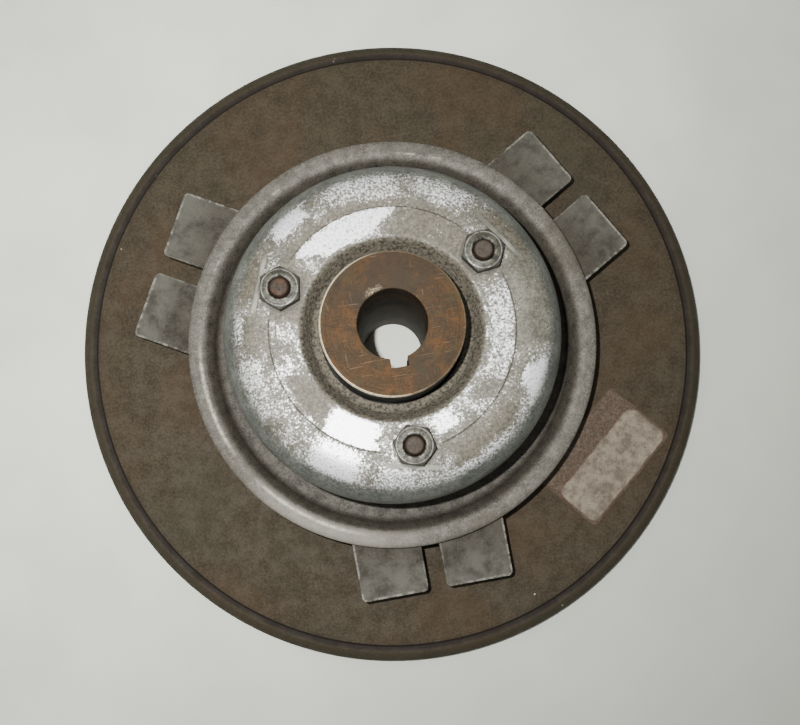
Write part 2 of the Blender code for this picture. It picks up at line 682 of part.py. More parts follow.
def make_rotor():
    low, high = ROTOR_Z
    groove_floor = low + LINING_DEPTH + GAP
    profile = [
        (BACK_JOURNAL_RADIUS + GAP, low),
        (LINING_RADII[0] - GAP, low),
        (LINING_RADII[0] - GAP, groove_floor),
        (LINING_RADII[1] + GAP, groove_floor),
        (LINING_RADII[1] + GAP, low),
        (ROTOR_RADIUS, low),
        (ROTOR_RADIUS, high),
        (BACK_JOURNAL_RADIUS + GAP, high),
    ]
    mesh = mesh_from(turned(profile, HIDDEN_STEPS), "rotor_disc", "rotor_steel")
    rotor = add_object("rotor_disc", mesh, "hub")
    cutter = bmesh.new()
    for i in range(FLUX_SLOT_COUNT):
        middle = math.tau * (i + 0.5) / FLUX_SLOT_COUNT
        start = middle - FLUX_SLOT_ARC / 2
        stop = middle + FLUX_SLOT_ARC / 2
        inner, outer = FLUX_SLOT_RADII
        outline = arc(outer, start, stop, 4) + arc(inner, stop, start, 4)
        extruded(outline, groove_floor - OVERCUT, high + OVERCUT, cutter)
    boolean(rotor, cutter)

    countersink_bottom = low + ROTOR_SCREW_COUNTERSINK
    mouth = ROTOR_SCREW_HEAD + 1.5 * OVERCUT
    hole = [
        (0, low - OVERCUT),
        (mouth, low - OVERCUT),
        (SMALL_HOLE_RADIUS, countersink_bottom),
        (SMALL_HOLE_RADIUS, high + OVERCUT),
        (0, high + OVERCUT),
    ]
    holes = bmesh.new()
    for angle in SPOKE_ANGLES:
        one = turned(hole, HOLE_STEPS)
        bmesh.ops.translate(one, verts=one.verts, vec=polar(ROTOR_SCREW_CIRCLE, angle))
        piece = bpy.data.meshes.new("screw_hole")
        one.to_mesh(piece)
        one.free()
        holes.from_mesh(piece)
        bpy.data.meshes.remove(piece)
    boolean(rotor, holes)

    screw = [
        (0, low + ROTOR_SCREW_SINK),
        (ROTOR_SCREW_HEAD - ROTOR_SCREW_SINK, low + ROTOR_SCREW_SINK),
        (ROTOR_SCREW_SHANK, countersink_bottom - ROTOR_SCREW_SINK / 2),
        (ROTOR_SCREW_SHANK, ROTOR_SCREW_TIP),
        (0, ROTOR_SCREW_TIP),
    ]
    screw_mesh = mesh_from(turned(screw, FASTENER_STEPS), "rotor_screw", "spring_steel")
    for i, angle in enumerate(SPOKE_ANGLES, 1):
        add_object(f"rotor_screw_{i}", screw_mesh, "hub", location=polar(ROTOR_SCREW_CIRCLE, angle))

    inner, outer = LINING_RADII
    lining = [(inner, low), (outer, low), (outer, low + LINING_DEPTH), (inner, low + LINING_DEPTH)]
    mesh = mesh_from(turned(lining, HIDDEN_STEPS), "rotor_friction_lining", "friction_lining")
    add_object("rotor_friction_lining", mesh, "hub")


def make_field_shell():
    bore = FIELD_BEARING_OUTSIDE + GAP
    groove = bore + SNAP_GROOVE_DEPTH + GAP / 2
    low, high = SHELL_Z
    window_inner, window_outer = SHELL_WINDOW_RADII
    clip_low = FIELD_BEARING_Z[1] + GAP / 2
    clip_high = FIELD_BEARING_Z[1] + GAP * 2 + CLIP_THICKNESS
    profile = [
        (bore, high),
        (SHELL_RADIUS - SHELL_CORNER, high),
        (SHELL_RADIUS, high - SHELL_CORNER),
        (SHELL_RADIUS, low),
        (window_outer, low),
        (window_outer, SHELL_WINDOW_TOP),
        (window_inner, SHELL_WINDOW_TOP),
        (window_inner, low),
        (bore, low),
        (bore, SHELL_SHOULDER_Z[0]),
        (bore - BEARING_SHOULDER_DEPTH, SHELL_SHOULDER_Z[0]),
        (bore - BEARING_SHOULDER_DEPTH, SHELL_SHOULDER_Z[1]),
        (bore, SHELL_SHOULDER_Z[1]),
        (bore, clip_low),
        (groove, clip_low),
        (groove, clip_high),
        (bore, clip_high),
    ]
    mesh = mesh_from(turned(profile, HIDDEN_STEPS), "field_shell", "field_iron")
    shell = add_object("field_shell", mesh, "field")
    cutter = bmesh.new()
    for angle in SPOKE_ANGLES:
        add_cylinder(cutter, polar(STUD_CIRCLE, angle), STUD_HOLE_RADIUS, STUD_Z[0] - GAP, high + OVERCUT)
    half = TERMINAL_PITCH / 2 + LEAD_RADIUS * 2
    height = LEAD_RADIUS * 2
    low_corner = (-half, window_outer - OVERCUT, LEAD_Z - height)
    add_box(cutter, low_corner, (half, SHELL_RADIUS + OVERCUT, LEAD_Z + height))
    boolean(shell, cutter)


def make_coil():
    inner = SHELL_WINDOW_RADII[0] + GAP
    outer = SHELL_WINDOW_RADII[1] - FORMER_SIDE_GAP
    low = SHELL_Z[0] + FORMER_END_GAPS[0]
    high = SHELL_WINDOW_TOP - FORMER_END_GAPS[1]
    wall = FORMER_WALL
    former = [
        (inner, low),
        (outer, low),
        (outer, low + wall),
        (inner + wall, low + wall),
        (inner + wall, high - wall),
        (outer, high - wall),
        (outer, high),
        (inner, high),
    ]
    mesh = mesh_from(turned(former, HIDDEN_STEPS), "coil_former", "former_nylon")
    add_object("coil_former", mesh, "field")
    inner += wall + GAP
    low += wall + GAP
    high -= wall + GAP
    outer -= WINDING_INSET
    winding = [(inner, low), (outer, low), (outer, high), (inner, high)]
    mesh = mesh_from(turned(winding, HIDDEN_STEPS), "coil_winding", "coil_copper")
    add_object("coil_winding", mesh, "field")
    return outer


def make_flange_ring():
    sleeve = SHELL_RADIUS + GAP
    wall = RING_WALL_OUTSIDE
    corner_width, corner_height = RING_CORNER
    profile = [
        (sleeve, RING_SLEEVE_TOP),
        (sleeve, RING_BOTTOM),
        (wall - corner_width, RING_BOTTOM),
        (wall, RING_BOTTOM + corner_height),
        (wall, RING_WALL_TOPS[0]),
        (wall + RING_LIP_START, RING_TOP - RING_SHEET),
        (RING_RADIUS - RING_LIP_UNDERSIDE_WIDTH, RING_TOP - RING_SHEET),
        *[(RING_RADIUS + out, RING_TOP + up) for out, up in RING_LIP_EDGE],
        (wall, RING_TOP - RING_LIP_DIP),
        (wall - RING_LIP_NECK, RING_WALL_TOPS[1]),
        *[(wall + out, RING_FLOOR + up) for out, up in RING_CHANNEL_CORNER],
        (sleeve + RING_SHEET, RING_FLOOR),
        (sleeve + RING_SHEET, RING_SLEEVE_TOP),
    ]
    mesh = mesh_from(turned(profile, VISIBLE_STEPS), "field_flange_ring", "ring_zinc")
    ring = add_object("field_flange_ring", mesh, "field")
    cutter = bmesh.new()
    half = (TERMINAL_PITCH + BLADE_WIDTH) / 2 + BLADE_PASSAGE[0]
    height = BLADE_THICKNESS / 2 + BLADE_PASSAGE[1]
    low = (-half, RING_WALL_OUTSIDE - 6 * OVERCUT, TERMINAL_Z - height)
    add_box(cutter, low, (half, RING_WALL_OUTSIDE + OVERCUT, TERMINAL_Z + height))
    boolean(ring, cutter)


def make_forks():
    """Three slotted forks: a pin on the machine stands in one slot and keeps the field from turning."""
    inner = RING_WALL_OUTSIDE + GAP
    middle = inner + FORK_FOOT_THICKNESS / 2
    reach = math.asin(FORK_HALF_WIDTH / middle)
    half_slot = FORK_SLOT_WIDTH / 2
    corner = FORK_CORNER
    quarter = math.pi / 2
    outline = [
        *arc(middle, reach, -reach, 8),
        *arc(corner, -quarter, 0, 3, (FORK_TIP - corner, -FORK_HALF_WIDTH + corner)),
        *arc(corner, 0, quarter, 3, (FORK_TIP - corner, -half_slot - corner)),
        *reversed(arc(half_slot, quarter, 3 * quarter, 6, (FORK_SLOT_ROOT + half_slot, 0))),
        *arc(corner, -quarter, 0, 3, (FORK_TIP - corner, half_slot + corner)),
        *arc(corner, 0, quarter, 3, (FORK_TIP - corner, FORK_HALF_WIDTH - corner)),
    ]
    fork = add_object("fork", mesh_from(extruded(outline, *FORK_Z), "fork", "ring_zinc"), "field")
    foot_outer = inner + FORK_FOOT_THICKNESS
    foot = arc(foot_outer, -reach, reach, 10) + arc(inner, reach, -reach, 10)
    boolean(fork, extruded(foot, *FORK_FOOT_Z), "UNION")
    mesh = resolved(fork)
    for i, angle in enumerate(SPOKE_ANGLES, 1):
        add_object(f"anti_rotation_fork_{i}", mesh, "field", angle)


def make_end_cap():
    shoulder_radius = CAP_RADIUS - CAP_SHOULDER
    lower_top = CAP_TOP - CAP_STEP
    centre = (shoulder_radius, lower_top - CAP_SHOULDER)
    quarter = math.pi / 2
    inside = CAP_SHOULDER - CAP_SHEET
    dish_rise = CAP_TOP - CAP_DISH_Z
    underside = CAP_DISH_Z - CAP_SHEET
    profile = [
        (CAP_HOLE_RADIUS, CAP_DISH_Z),
        *[(CAP_HOLE_RADIUS + out, CAP_DISH_Z + dish_rise * share) for out, share in CAP_DISH_SLOPE],
        (CAP_STEP_RADIUS, CAP_TOP),
        (CAP_STEP_RADIUS + CAP_STEP_RUN, lower_top),
        *arc(CAP_SHOULDER, quarter, 0, 4, centre),
        (CAP_RADIUS, CAP_BOTTOM),
        (CAP_RADIUS - CAP_SHEET, CAP_BOTTOM),
        *arc(inside, 0, quarter, 3, centre),
        (CAP_HOLE_RADIUS + CAP_UNDERSIDE_START, lower_top - CAP_SHEET),
        *reversed([(CAP_HOLE_RADIUS + out, underside + dish_rise * up) for out, up in CAP_DISH_UNDERSIDE]),
        (CAP_HOLE_RADIUS, underside),
    ]
    profile.reverse()
    cap = add_object("end_cap", mesh_from(turned(profile, VISIBLE_STEPS), "end_cap", "cap_zinc"), "field")

    pads = bmesh.new()
    for angle in SPOKE_ANGLES:
        low = (STUD_CIRCLE - OVERCUT, -CAP_PAD_HALF_WIDTH, lower_top - CAP_SHEET / 2)
        high = (CAP_PAD_REACH, CAP_PAD_HALF_WIDTH, CAP_TOP - CAP_PAD_DROP)
        before = len(pads.verts)
        add_box(pads, low, high)
        pads.verts.ensure_lookup_table()
        turn = Matrix.Rotation(angle, 3, "Z")
        bmesh.ops.rotate(pads, verts=pads.verts[before:], cent=(0, 0, 0), matrix=turn)
    boolean(cap, pads, "UNION")

    holes = bmesh.new()
    for angle in SPOKE_ANGLES:
        place = polar(STUD_CIRCLE, angle)
        add_cylinder(holes, place, STUD_HOLE_RADIUS, lower_top - CAP_SHEET - OVERCUT, CAP_TOP + OVERCUT)
    wider, taller = GROMMET_SLOT_RATIOS
    outline = [(x * wider, y * taller) for x, y in stadium(*GROMMET_HALF, 6)]
    slot = extruded(outline, CAP_RADIUS - 4 * CAP_SHEET, CAP_RADIUS + OVERCUT)
    stand_up(slot, LEAD_Z)
    add_bmesh(holes, slot)
    boolean(cap, holes)


def stand_up(bm, z):
    """Turns a shape that was extruded along Z so that it runs along +Y, at height z."""
    bmesh.ops.rotate(bm, verts=bm.verts, cent=(0, 0, 0), matrix=Matrix.Rotation(-math.pi / 2, 3, "X"))
    bmesh.ops.translate(bm, verts=bm.verts, vec=(0, 0, z))


def add_bmesh(target, source):
    mesh = bpy.data.meshes.new("joined")
    source.to_mesh(mesh)
    source.free()
    target.from_mesh(mesh)
    bpy.data.meshes.remove(mesh)


def make_cap_fasteners():
    stud = [
        (0, STUD_Z[0]),
        (STUD_RADIUS, STUD_Z[0]),
        (STUD_RADIUS, STUD_Z[1] - STUD_CHAMFER[1]),
        (STUD_RADIUS - STUD_CHAMFER[0], STUD_Z[1]),
        (0, STUD_Z[1]),
    ]
    stud_mesh = mesh_from(turned(stud, FASTENER_STEPS), "cap_stud", "stud_rust")
    low = SHELL_Z[1] + GAP
    high = CAP_TOP - CAP_STEP - CAP_SHEET - GAP
    spacer = [
        (STUD_HOLE_RADIUS, low),
        (SPACER_RADIUS, low),
        (SPACER_RADIUS, high),
        (STUD_HOLE_RADIUS, high),
    ]
    spacer_mesh = mesh_from(turned(spacer, FASTENER_STEPS), "cap_spacer", "nut_zinc")
    corner = NUT_ACROSS_FLATS / 2 / math.cos(math.pi / 6)
    hexagon = arc(corner, 0, math.tau, 6)[:-1]
    nut = add_object("nut", mesh_from(extruded(hexagon, *NUT_Z), "nut", "nut_zinc"), "field")
    face = NUT_ACROSS_FLATS / 2 * NUT_CHAMFER_RATIOS[0]
    outside = corner * NUT_CHAMFER_RATIOS[1]
    chamfer = (outside - face) * math.tan(NUT_CHAMFER_ANGLE)
    barrel = [
        (0, NUT_Z[0]),
        (face, NUT_Z[0]),
        (outside, NUT_Z[0] + chamfer),
        (outside, NUT_Z[1] - chamfer),
        (face, NUT_Z[1]),
        (0, NUT_Z[1]),
    ]
    boolean(nut, turned(barrel, 2 * FASTENER_STEPS), "INTERSECT")
    bore = bmesh.new()
    add_cylinder(bore, (0, 0), STUD_HOLE_RADIUS, NUT_Z[0] - OVERCUT, NUT_Z[1] + OVERCUT, FASTENER_STEPS)
    boolean(nut, bore)
    nut_mesh = resolved(nut)
    for i, (angle, turn) in enumerate(zip(SPOKE_ANGLES, NUT_TURNS), 1):
        place = polar(STUD_CIRCLE, angle)
        add_object(f"cap_stud_{i}", stud_mesh, "field", location=place)
        add_object(f"cap_spacer_{i}", spacer_mesh, "field", location=place)
        add_object(f"cap_nut_{i}", nut_mesh, "field", angle + turn, place)


def make_terminals():
    block = bmesh.new()
    low = (-BLOCK_HALF_WIDTH, BLOCK_Y[0], BLOCK_Z[0])
    add_box(block, low, (BLOCK_HALF_WIDTH, BLOCK_Y[1], BLOCK_Z[1]))
    holder = add_object("terminal_block", mesh_from(block, "terminal_block", "terminal_plastic"), "field")
    slots = bmesh.new()
    half = BLADE_WIDTH / 2
    thickness = BLADE_THICKNESS / 2
    for side in (-1, 1):
        x = side * TERMINAL_PITCH / 2
        low = (x - half - GAP, BLOCK_Y[0] - OVERCUT, TERMINAL_Z - thickness - GAP)
        add_box(slots, low, (x + half + GAP, BLOCK_Y[1] + OVERCUT, TERMINAL_Z + thickness + GAP))
    boolean(holder, slots)
    blade = bmesh.new()
    tip_side, tip_length = BLADE_TIP
    outline = [
        (-half, BLADE_Y[0]),
        (half, BLADE_Y[0]),
        (half, BLADE_Y[1] - tip_length),
        (half - tip_side, BLADE_Y[1]),
        (tip_side - half, BLADE_Y[1]),
        (-half, BLADE_Y[1] - tip_length),
    ]
    extruded(outline, TERMINAL_Z - thickness, TERMINAL_Z + thickness, blade)
    mesh = mesh_from(blade, "terminal_blade", "terminal_brass")
    for i, side in enumerate((-1, 1), 1):
        add_object(f"terminal_blade_{i}", mesh, "field", location=(side * TERMINAL_PITCH / 2, 0, 0))


def make_grommet():
    half_length, half_width = GROMMET_HALF
    start, stop = (CAP_RADIUS + offset for offset in GROMMET_SPAN)
    bm = extruded(stadium(half_length, half_width, 5), start, stop)
    stand_up(bm, LEAD_Z)
    grommet = add_object("lead_grommet", mesh_from(bm, "lead_grommet", "seal_rubber"), "field")
    lip_start, lip_stop = (CAP_RADIUS + offset for offset in GROMMET_LIP_SPAN)
    lip = extruded(stadium(half_length + GROMMET_LIP, half_width + GROMMET_LIP, 5), lip_start, lip_stop)
    stand_up(lip, LEAD_Z)
    boolean(grommet, lip, "UNION")
    holes = bmesh.new()
    for side in (-1, 1):
        place = (side * TERMINAL_PITCH / 2, 0)
        add_cylinder(holes, place, LEAD_RADIUS + GAP, start - OVERCUT, stop + OVERCUT)
    stand_up(holes, LEAD_Z)
    boolean(grommet, holes)


def smooth_route(points, steps):
    """Points of a smooth curve through the given ones."""
    ends = [points[0] * 2 - points[1], *points, points[-1] * 2 - points[-2]]
    route = []
    for a, b, c, d in zip(ends, ends[1:], ends[2:], ends[3:]):
        for i in range(steps):
            t = i / steps
            bend = (2 * a - 5 * b + 4 * c - d) * t * t + (3 * b - a - 3 * c + d) * t * t * t
            route.append(b + ((c - a) * t + bend) * 0.5)
    return [*route, points[-1]]


def make_leads(coil_radius):
    """Each lead leaves the coil, passes the grommet and drops to its blade under the ring's lip."""
    route = [
        (coil_radius + GAP, LEAD_Z),
        *[(CAP_RADIUS + out, LEAD_Z + up) for out, up in LEAD_ROUTE],
        (BLADE_Y[0] - GAP, TERMINAL_Z),
    ]
    for i, side in enumerate((-1, 1), 1):
        x = side * TERMINAL_PITCH / 2
        name = f"coil_lead_{i}"
        curve = bpy.data.curves.new(name, "CURVE")
        curve.dimensions = "3D"
        curve.bevel_depth = LEAD_RADIUS
        curve.bevel_resolution = 2
        curve.use_fill_caps = True
        spline = curve.splines.new("POLY")
        places = smooth_route([Vector((x, y, z)) for y, z in route], 2)
        spline.points.add(len(places) - 1)
        for point, place in zip(spline.points, places):
            point.co = (*place, 1.0)
        curve.materials.append(MATERIALS["lead_insulation"])
        add_object(name, curve, "field")


def make_label():
    width, height = LABEL_SIZE
    outline = rounded_rectangle(width / 2, height / 2, LABEL_CORNER)
    low = DISC_TOP + GAP
    mesh = mesh_from(extruded(outline, low, low + LABEL_THICKNESS), "rating_label", "label_paper")
    add_object("rating_label", mesh, "output", LABEL_TURN, polar(LABEL_CIRCLE, LABEL_ANGLE))


def make_bodies():
    """One empty for each rigid body, on the shaft axis."""
    bodies = {}
    for name in ("field", "hub", "output", "armature", "field_cage", "output_cage"):
        bodies[name] = bpy.data.objects.new(f"body_{name}", None)
        bpy.context.scene.collection.objects.link(bodies[name])
    return bodies


clear_scene()
MATERIALS = make_finishes()
BODIES = make_bodies()
make_hub_sleeve()
make_output_bearing()
make_field_bearing()
make_bearing_spacer()
make_output_disc()
make_leaf_springs()
make_armature_plate()
make_rotor()
make_field_shell()
coil_outer = make_coil()
make_flange_ring()
make_forks()
make_end_cap()
make_cap_fasteners()
make_terminals()
make_grommet()
make_leads(coil_outer)
make_label()
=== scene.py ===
"""Looks for the electromagnetic clutch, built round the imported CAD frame. Metres, +Z up along the shaft."""

import json
from math import asin, cos, dist, hypot, pi, radians, sin, tan, tau

import bmesh
import bpy
import numpy as np
from mathutils import Matrix, Vector, noise


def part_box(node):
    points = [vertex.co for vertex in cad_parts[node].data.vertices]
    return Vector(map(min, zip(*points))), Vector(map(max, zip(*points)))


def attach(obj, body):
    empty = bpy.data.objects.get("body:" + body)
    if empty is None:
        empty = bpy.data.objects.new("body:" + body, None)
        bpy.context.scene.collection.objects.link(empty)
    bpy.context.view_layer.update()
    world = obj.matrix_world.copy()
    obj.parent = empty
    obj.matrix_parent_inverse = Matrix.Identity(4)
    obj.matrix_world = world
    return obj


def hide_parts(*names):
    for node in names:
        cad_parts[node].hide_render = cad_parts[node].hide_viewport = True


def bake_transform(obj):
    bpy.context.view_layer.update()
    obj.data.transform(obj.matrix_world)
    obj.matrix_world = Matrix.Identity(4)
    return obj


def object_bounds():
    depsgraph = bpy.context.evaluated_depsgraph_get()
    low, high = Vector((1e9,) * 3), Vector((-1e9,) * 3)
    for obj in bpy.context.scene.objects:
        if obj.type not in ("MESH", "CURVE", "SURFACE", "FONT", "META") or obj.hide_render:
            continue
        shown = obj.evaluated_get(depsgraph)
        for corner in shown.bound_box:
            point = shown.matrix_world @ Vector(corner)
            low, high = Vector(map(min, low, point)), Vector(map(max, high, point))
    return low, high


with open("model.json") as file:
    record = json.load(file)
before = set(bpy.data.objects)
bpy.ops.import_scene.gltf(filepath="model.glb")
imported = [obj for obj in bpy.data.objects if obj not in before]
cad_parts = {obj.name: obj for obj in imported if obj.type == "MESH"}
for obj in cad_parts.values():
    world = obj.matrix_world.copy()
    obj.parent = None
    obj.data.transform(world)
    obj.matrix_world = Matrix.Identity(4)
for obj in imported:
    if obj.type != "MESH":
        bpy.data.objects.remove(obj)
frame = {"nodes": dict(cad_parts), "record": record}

CAD_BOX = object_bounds()
NODES = frame["nodes"]

QUARTER = pi / 2
SHARP_ANGLE = radians(32)
BEVEL_ANGLE = radians(40)

# Segments in a full turn
FINE = 288
MEDIUM = 144
SMALL = 64

# Hub
HUB_RADIUS = 0.0265
BORE_RADIUS = 0.0127
KEYWAY_WIDTH = 0.00635
KEYWAY_FLOOR = 0.0158
BACK_JOURNAL_RADIUS = 0.0247

# Output disc
DISC_FLAT_RADIUS = 0.1268
DISC_TOP = 0.0100
DISC_WEB_BOTTOM = 0.0032
DISC_BOSS_RADIUS = 0.0600
TAPPED_CIRCLE = 0.0500
TAPPED_HOLE_RADIUS = 0.0032
TAPPED_ANGLES = [radians(35) + tau * i / 6 for i in range(6)]
OUTPUT_BEARING_OUTSIDE = 0.0360
SPRING_CIRCLE = 0.0500
SPRING_SPAN = radians(50)
SCREW_ANGLES = [radians(10) + tau * i / 3 for i in range(3)]
RIVET_ANGLES = [angle + SPRING_SPAN for angle in SCREW_ANGLES]

# Label
LABEL_SIZE = (0.0520, 0.0340)
LABEL_PLACE = (0.1017, radians(-37.6))
LABEL_TURN = radians(39.8)

# Rotor, armature and coil
ROTOR_SCREW_CIRCLE = 0.0310
SCREW_HOLE_RADIUS = 0.0023
WIRE_PITCH = 0.0007

# Flange ring and forks
RING_TOP = 0.0302
RING_WALL_OUTSIDE = 0.0765
RING_SHEET = 0.0016
FORK_HALF_WIDTH = 0.0318
FORK_SLOT_WIDTH = 0.0075
FORK_SLOT_ROOT = 0.0810
FORK_CORNER = 0.0022
FORK_TIP = 0.1030
FORK_ANGLES = (radians(-90), radians(30), radians(150))

# End cap: the raised middle ends in a step, and each pad ends in a straight edge that faces its own way
CAP_SHEET = 0.0016
CAP_SHOULDER = 0.0150
CAP_STEP = 0.0006
CAP_STEP_RADIUS = 0.0460
CAP_DISH_Z = 0.0602
CAP_DISH_RADIUS = 0.0349
CAP_HOLE_RADIUS = 0.0273
PAD_HALF_WIDTH = 0.0105
PAD_SLOPE = 0.0010
PADS = ((radians(-104), 0.0504), (radians(35), 0.0530), (radians(158), 0.0520))
STUD_CIRCLE = 0.0440
STUD_HOLE_RADIUS = 0.00427
NUT_ACROSS_FLATS = 0.0143
NUT_TURNS = (radians(12), radians(-24), radians(-10))
STUD_SILVER = (0.55, 1.0, 0.0)

# Camera, at the photograph's viewing angle
CAMERA_PLACE = (-0.0094, -0.0533, 0.4126)
CAMERA_TARGET = (-0.0052, -0.0438, 0.0400)
CAMERA_ROLL = radians(-10.62)
CAMERA_LENS = 42.0
CAMERA_SHIFT = 0.109
FLOOR_GAP = 0.0003


# ---------------------------------------------------------------- materials


def srgb(red, green, blue):
    """A surface colour that shows as this sRGB, 0 to 255, in this scene's light and the default view."""

    def surface(value):
        value /= 255
        shown = value / 12.92 if value <= 0.04045 else ((value + 0.055) / 1.055) ** 2.4
        return min(0.6 * shown / max(1 - 1.3 * shown**2, 0.1), 0.92)

    return (surface(red), surface(green), surface(blue))


def put(socket, value):
    """Links an output to a socket, or stores a number or colour on it."""
    if isinstance(value, bpy.types.NodeSocket):
        socket.node.id_data.links.new(value, socket)
    elif socket.type == "RGBA":
        socket.default_value = (*value, 1.0)
    else:
        socket.default_value = value


def add_node(tree, kind, inputs=None, **settings):
    node = tree.nodes.new(kind)
    for key, value in settings.items():
        setattr(node, key, value)
    for key, value in (inputs or {}).items():
        put(node.inputs[key], value)
    return node


class Finish:
    """A procedural material under construction. Each method adds nodes and returns an output."""

    def __init__(self, name, roughness=0.5, metallic=0.0, gloss=0.5):
        self.material = bpy.data.materials.new(name)
        self.material.use_nodes = True
        self.tree = self.material.node_tree
        self.shader = self.tree.nodes["Principled BSDF"]
        self.set("Roughness", roughness)
        self.set("Metallic", metallic)
        self.set("Specular IOR Level", gloss)
        self.place = self.add("ShaderNodeTexCoord").outputs["Object"]
        self.flat = self.vector("MULTIPLY", self.place, (1, 1, 0))
        self.radius = self.vector("LENGTH", self.flat)
        self.millimetres = self.both(self.radius, 1000.0)
        self.heading = self.vector("NORMALIZE", self.flat)
        self.x, self.y, self.height = self.add("ShaderNodeSeparateXYZ", {0: self.place}).outputs

    def add(self, kind, inputs=None, **settings):
        return add_node(self.tree, kind, inputs, **settings)

    def set(self, name, value):
        put(self.shader.inputs[name], value)

    def math(self, operation, a, b=0.0):
        return self.add("ShaderNodeMath", {0: a, 1: b}, operation=operation).outputs[0]

    def vector(self, operation, a, b=(0, 0, 0)):
        made = self.add("ShaderNodeVectorMath", {0: a, 1: b}, operation=operation)
        return made.outputs["Value" if operation in ("LENGTH", "DISTANCE", "DOT_PRODUCT") else 0]

    def both(self, *masks):
        """All of the masks at once: their product."""
        made = masks[0]
        for mask in masks[1:]:
            made = self.math("MULTIPLY", made, mask)
        return made

    def either(self, *masks):
        """Any of the masks: the largest."""
        made = masks[0]
        for mask in masks[1:]:
            made = self.math("MAXIMUM", made, mask)
        return made

    def ramp(self, value, start, stop, low=0.0, high=1.0):
        """low before start and high after stop, with a smooth step between. start may be above stop."""
        if start > stop:
            start, stop, low, high = stop, start, high, low
        inputs = {"Value": value, "From Min": start, "From Max": stop, "To Min": low, "To Max": high}
        return self.add("ShaderNodeMapRange", inputs, interpolation_type="SMOOTHSTEP").outputs[0]

    def at_radius(self, start, stop, low=0.0, high=1.0):
        """The same over the distance from the shaft's axis in mm."""
        return self.ramp(self.millimetres, start, stop, low, high)

    def mix(self, share, a, b):
        return self.add("ShaderNodeMix", {0: share, 6: a, 7: b}, data_type="RGBA").outputs[2]

    def tones(self, value, start, stop, dark, light):
        """From one sRGB colour to another, as the value goes from start to stop."""
        return self.mix(self.ramp(value, start, stop), srgb(*dark), srgb(*light))

    def coat(self, share, *colour):
        """Lays a colour, as sRGB or as an output, over what is there already."""
        self.colour = self.mix(share, self.colour, srgb(*colour) if len(colour) == 3 else colour[0])

    def weigh(self, a, share_a, b, share_b):
        return self.math("ADD", self.both(a, share_a), self.both(b, share_b))

    def done(self, roughness=None):
        self.set("Base Color", self.colour)
        if roughness is not None:
            self.set("Roughness", roughness)
        return self.material

    def noise(self, size, detail=3.0, roughness=0.55, stretch=None, warp=0.0):
        """Noise from 0 to 1 whose grains are about size metres across."""
        where = self.place
        if stretch:
            where = self.vector("MULTIPLY", where, stretch)
        inputs = {"Vector": where, "Scale": 1 / size, "Detail": detail}
        inputs.update({"Roughness": roughness, "Distortion": warp})
        return self.add("ShaderNodeTexNoise", inputs).outputs[0]

    def spots(self, size, detail, roughness, start, stop, low=0.0, high=1.0):
        return self.ramp(self.noise(size, detail, roughness), start, stop, low, high)

    def rings(self, size, detail=2.0):
        """Turning marks: noise that changes with the radius and the height, and hardly along the cut."""
        where = self.add("ShaderNodeCombineXYZ", {0: self.radius, 2: self.height})
        inputs = {"Vector": where.outputs[0], "Scale": 1 / size, "Detail": detail}
        return self.add("ShaderNodeTexNoise", inputs).outputs[0]

    def cells(self, size):
        return self.add("ShaderNodeTexVoronoi", {"Vector": self.place, "Scale": 1 / size}).outputs[0]

    def turned_from(self, degrees):
        """Degrees round the shaft between here and the given heading, 0 to 180."""
        angle = radians(degrees)
        dot = self.vector("DOT_PRODUCT", self.heading, (cos(angle), sin(angle), 0))
        return self.both(self.math("ARCCOSINE", dot), 180 / pi)

    def patch(self, heading, half, inner, outer, ragged=None, soft=3.0, blur=0.5, narrow=0.0):
        """A mask over a stretch of a ring: half degrees to each side of heading, between two radii in mm.

        At the inner radius it's narrower by the degrees in narrow, on each side."""
        away, radius = self.turned_from(heading), self.millimetres
        if ragged:
            away = self.math("ADD", away, self.both(ragged, 14.0))
            radius = self.math("ADD", radius, self.both(ragged, 3.0))
        if narrow:
            away = self.math("ADD", away, self.ramp(radius, outer, inner, 0.0, narrow))
        outside = self.ramp(radius, inner - blur, inner + blur)
        inside = self.ramp(radius, outer + blur, outer - blur)
        return self.both(outside, inside, self.ramp(away, half + soft, half - soft))

    def patches(self, ragged, *stretches):
        """Any of several patches, each given as (heading, half, inner, outer, soft, blur, narrow)."""
        return self.either(*[self.patch(*stretch[:4], ragged, *stretch[4:]) for stretch in stretches])

    def shuffle(self):
        """Moves the noise by what paint() stored as seed, so that like pieces don't show one pattern."""
        seed = self.painted("seed")
        push = self.add("ShaderNodeCombineXYZ", {0: seed, 1: seed})
        self.place = self.vector("ADD", self.place, push.outputs[0])

    def painted(self, name):
        """A mask that paint() stored on the mesh."""
        return self.add("ShaderNodeAttribute", attribute_name=name).outputs["Fac"]

    def bump(self, height, depth, strength=1.0):
        """A bump of the given depth in metres, on top of those before it."""
        bump = self.add("ShaderNodeBump", {"Height": height, "Distance": depth, "Strength": strength})
        if self.shader.inputs["Normal"].links:
            put(bump.inputs["Normal"], self.shader.inputs["Normal"].links[0].from_socket)
        self.set("Normal", bump.outputs[0])


def metal(name, dark, light, roughness, metallic, turning=None, worn=0.0):
    """A machined or plated metal: uneven tone, fine grain, and turning marks where it was turned."""
    f = Finish(name, metallic=metallic)
    broad = f.noise(0.011, 4, 0.6)
    fine = f.noise(0.0008, 3)
    tone = f.weigh(broad, 0.65, fine, 0.35)
    f.colour = f.tones(tone, 0.32, 0.68, dark, light)
    if worn:
        stain = f.both(f.ramp(f.noise(0.0042, 5, 0.7, warp=0.6), 0.50, 0.66), worn)
        f.coat(stain, 92, 66, 46)
    f.bump(fine, 0.00003)
    if turning:
        f.bump(f.rings(turning), 0.00003)
    return f.done(f.ramp(tone, 0.25, 0.75, roughness + 0.10, roughness - 0.06))


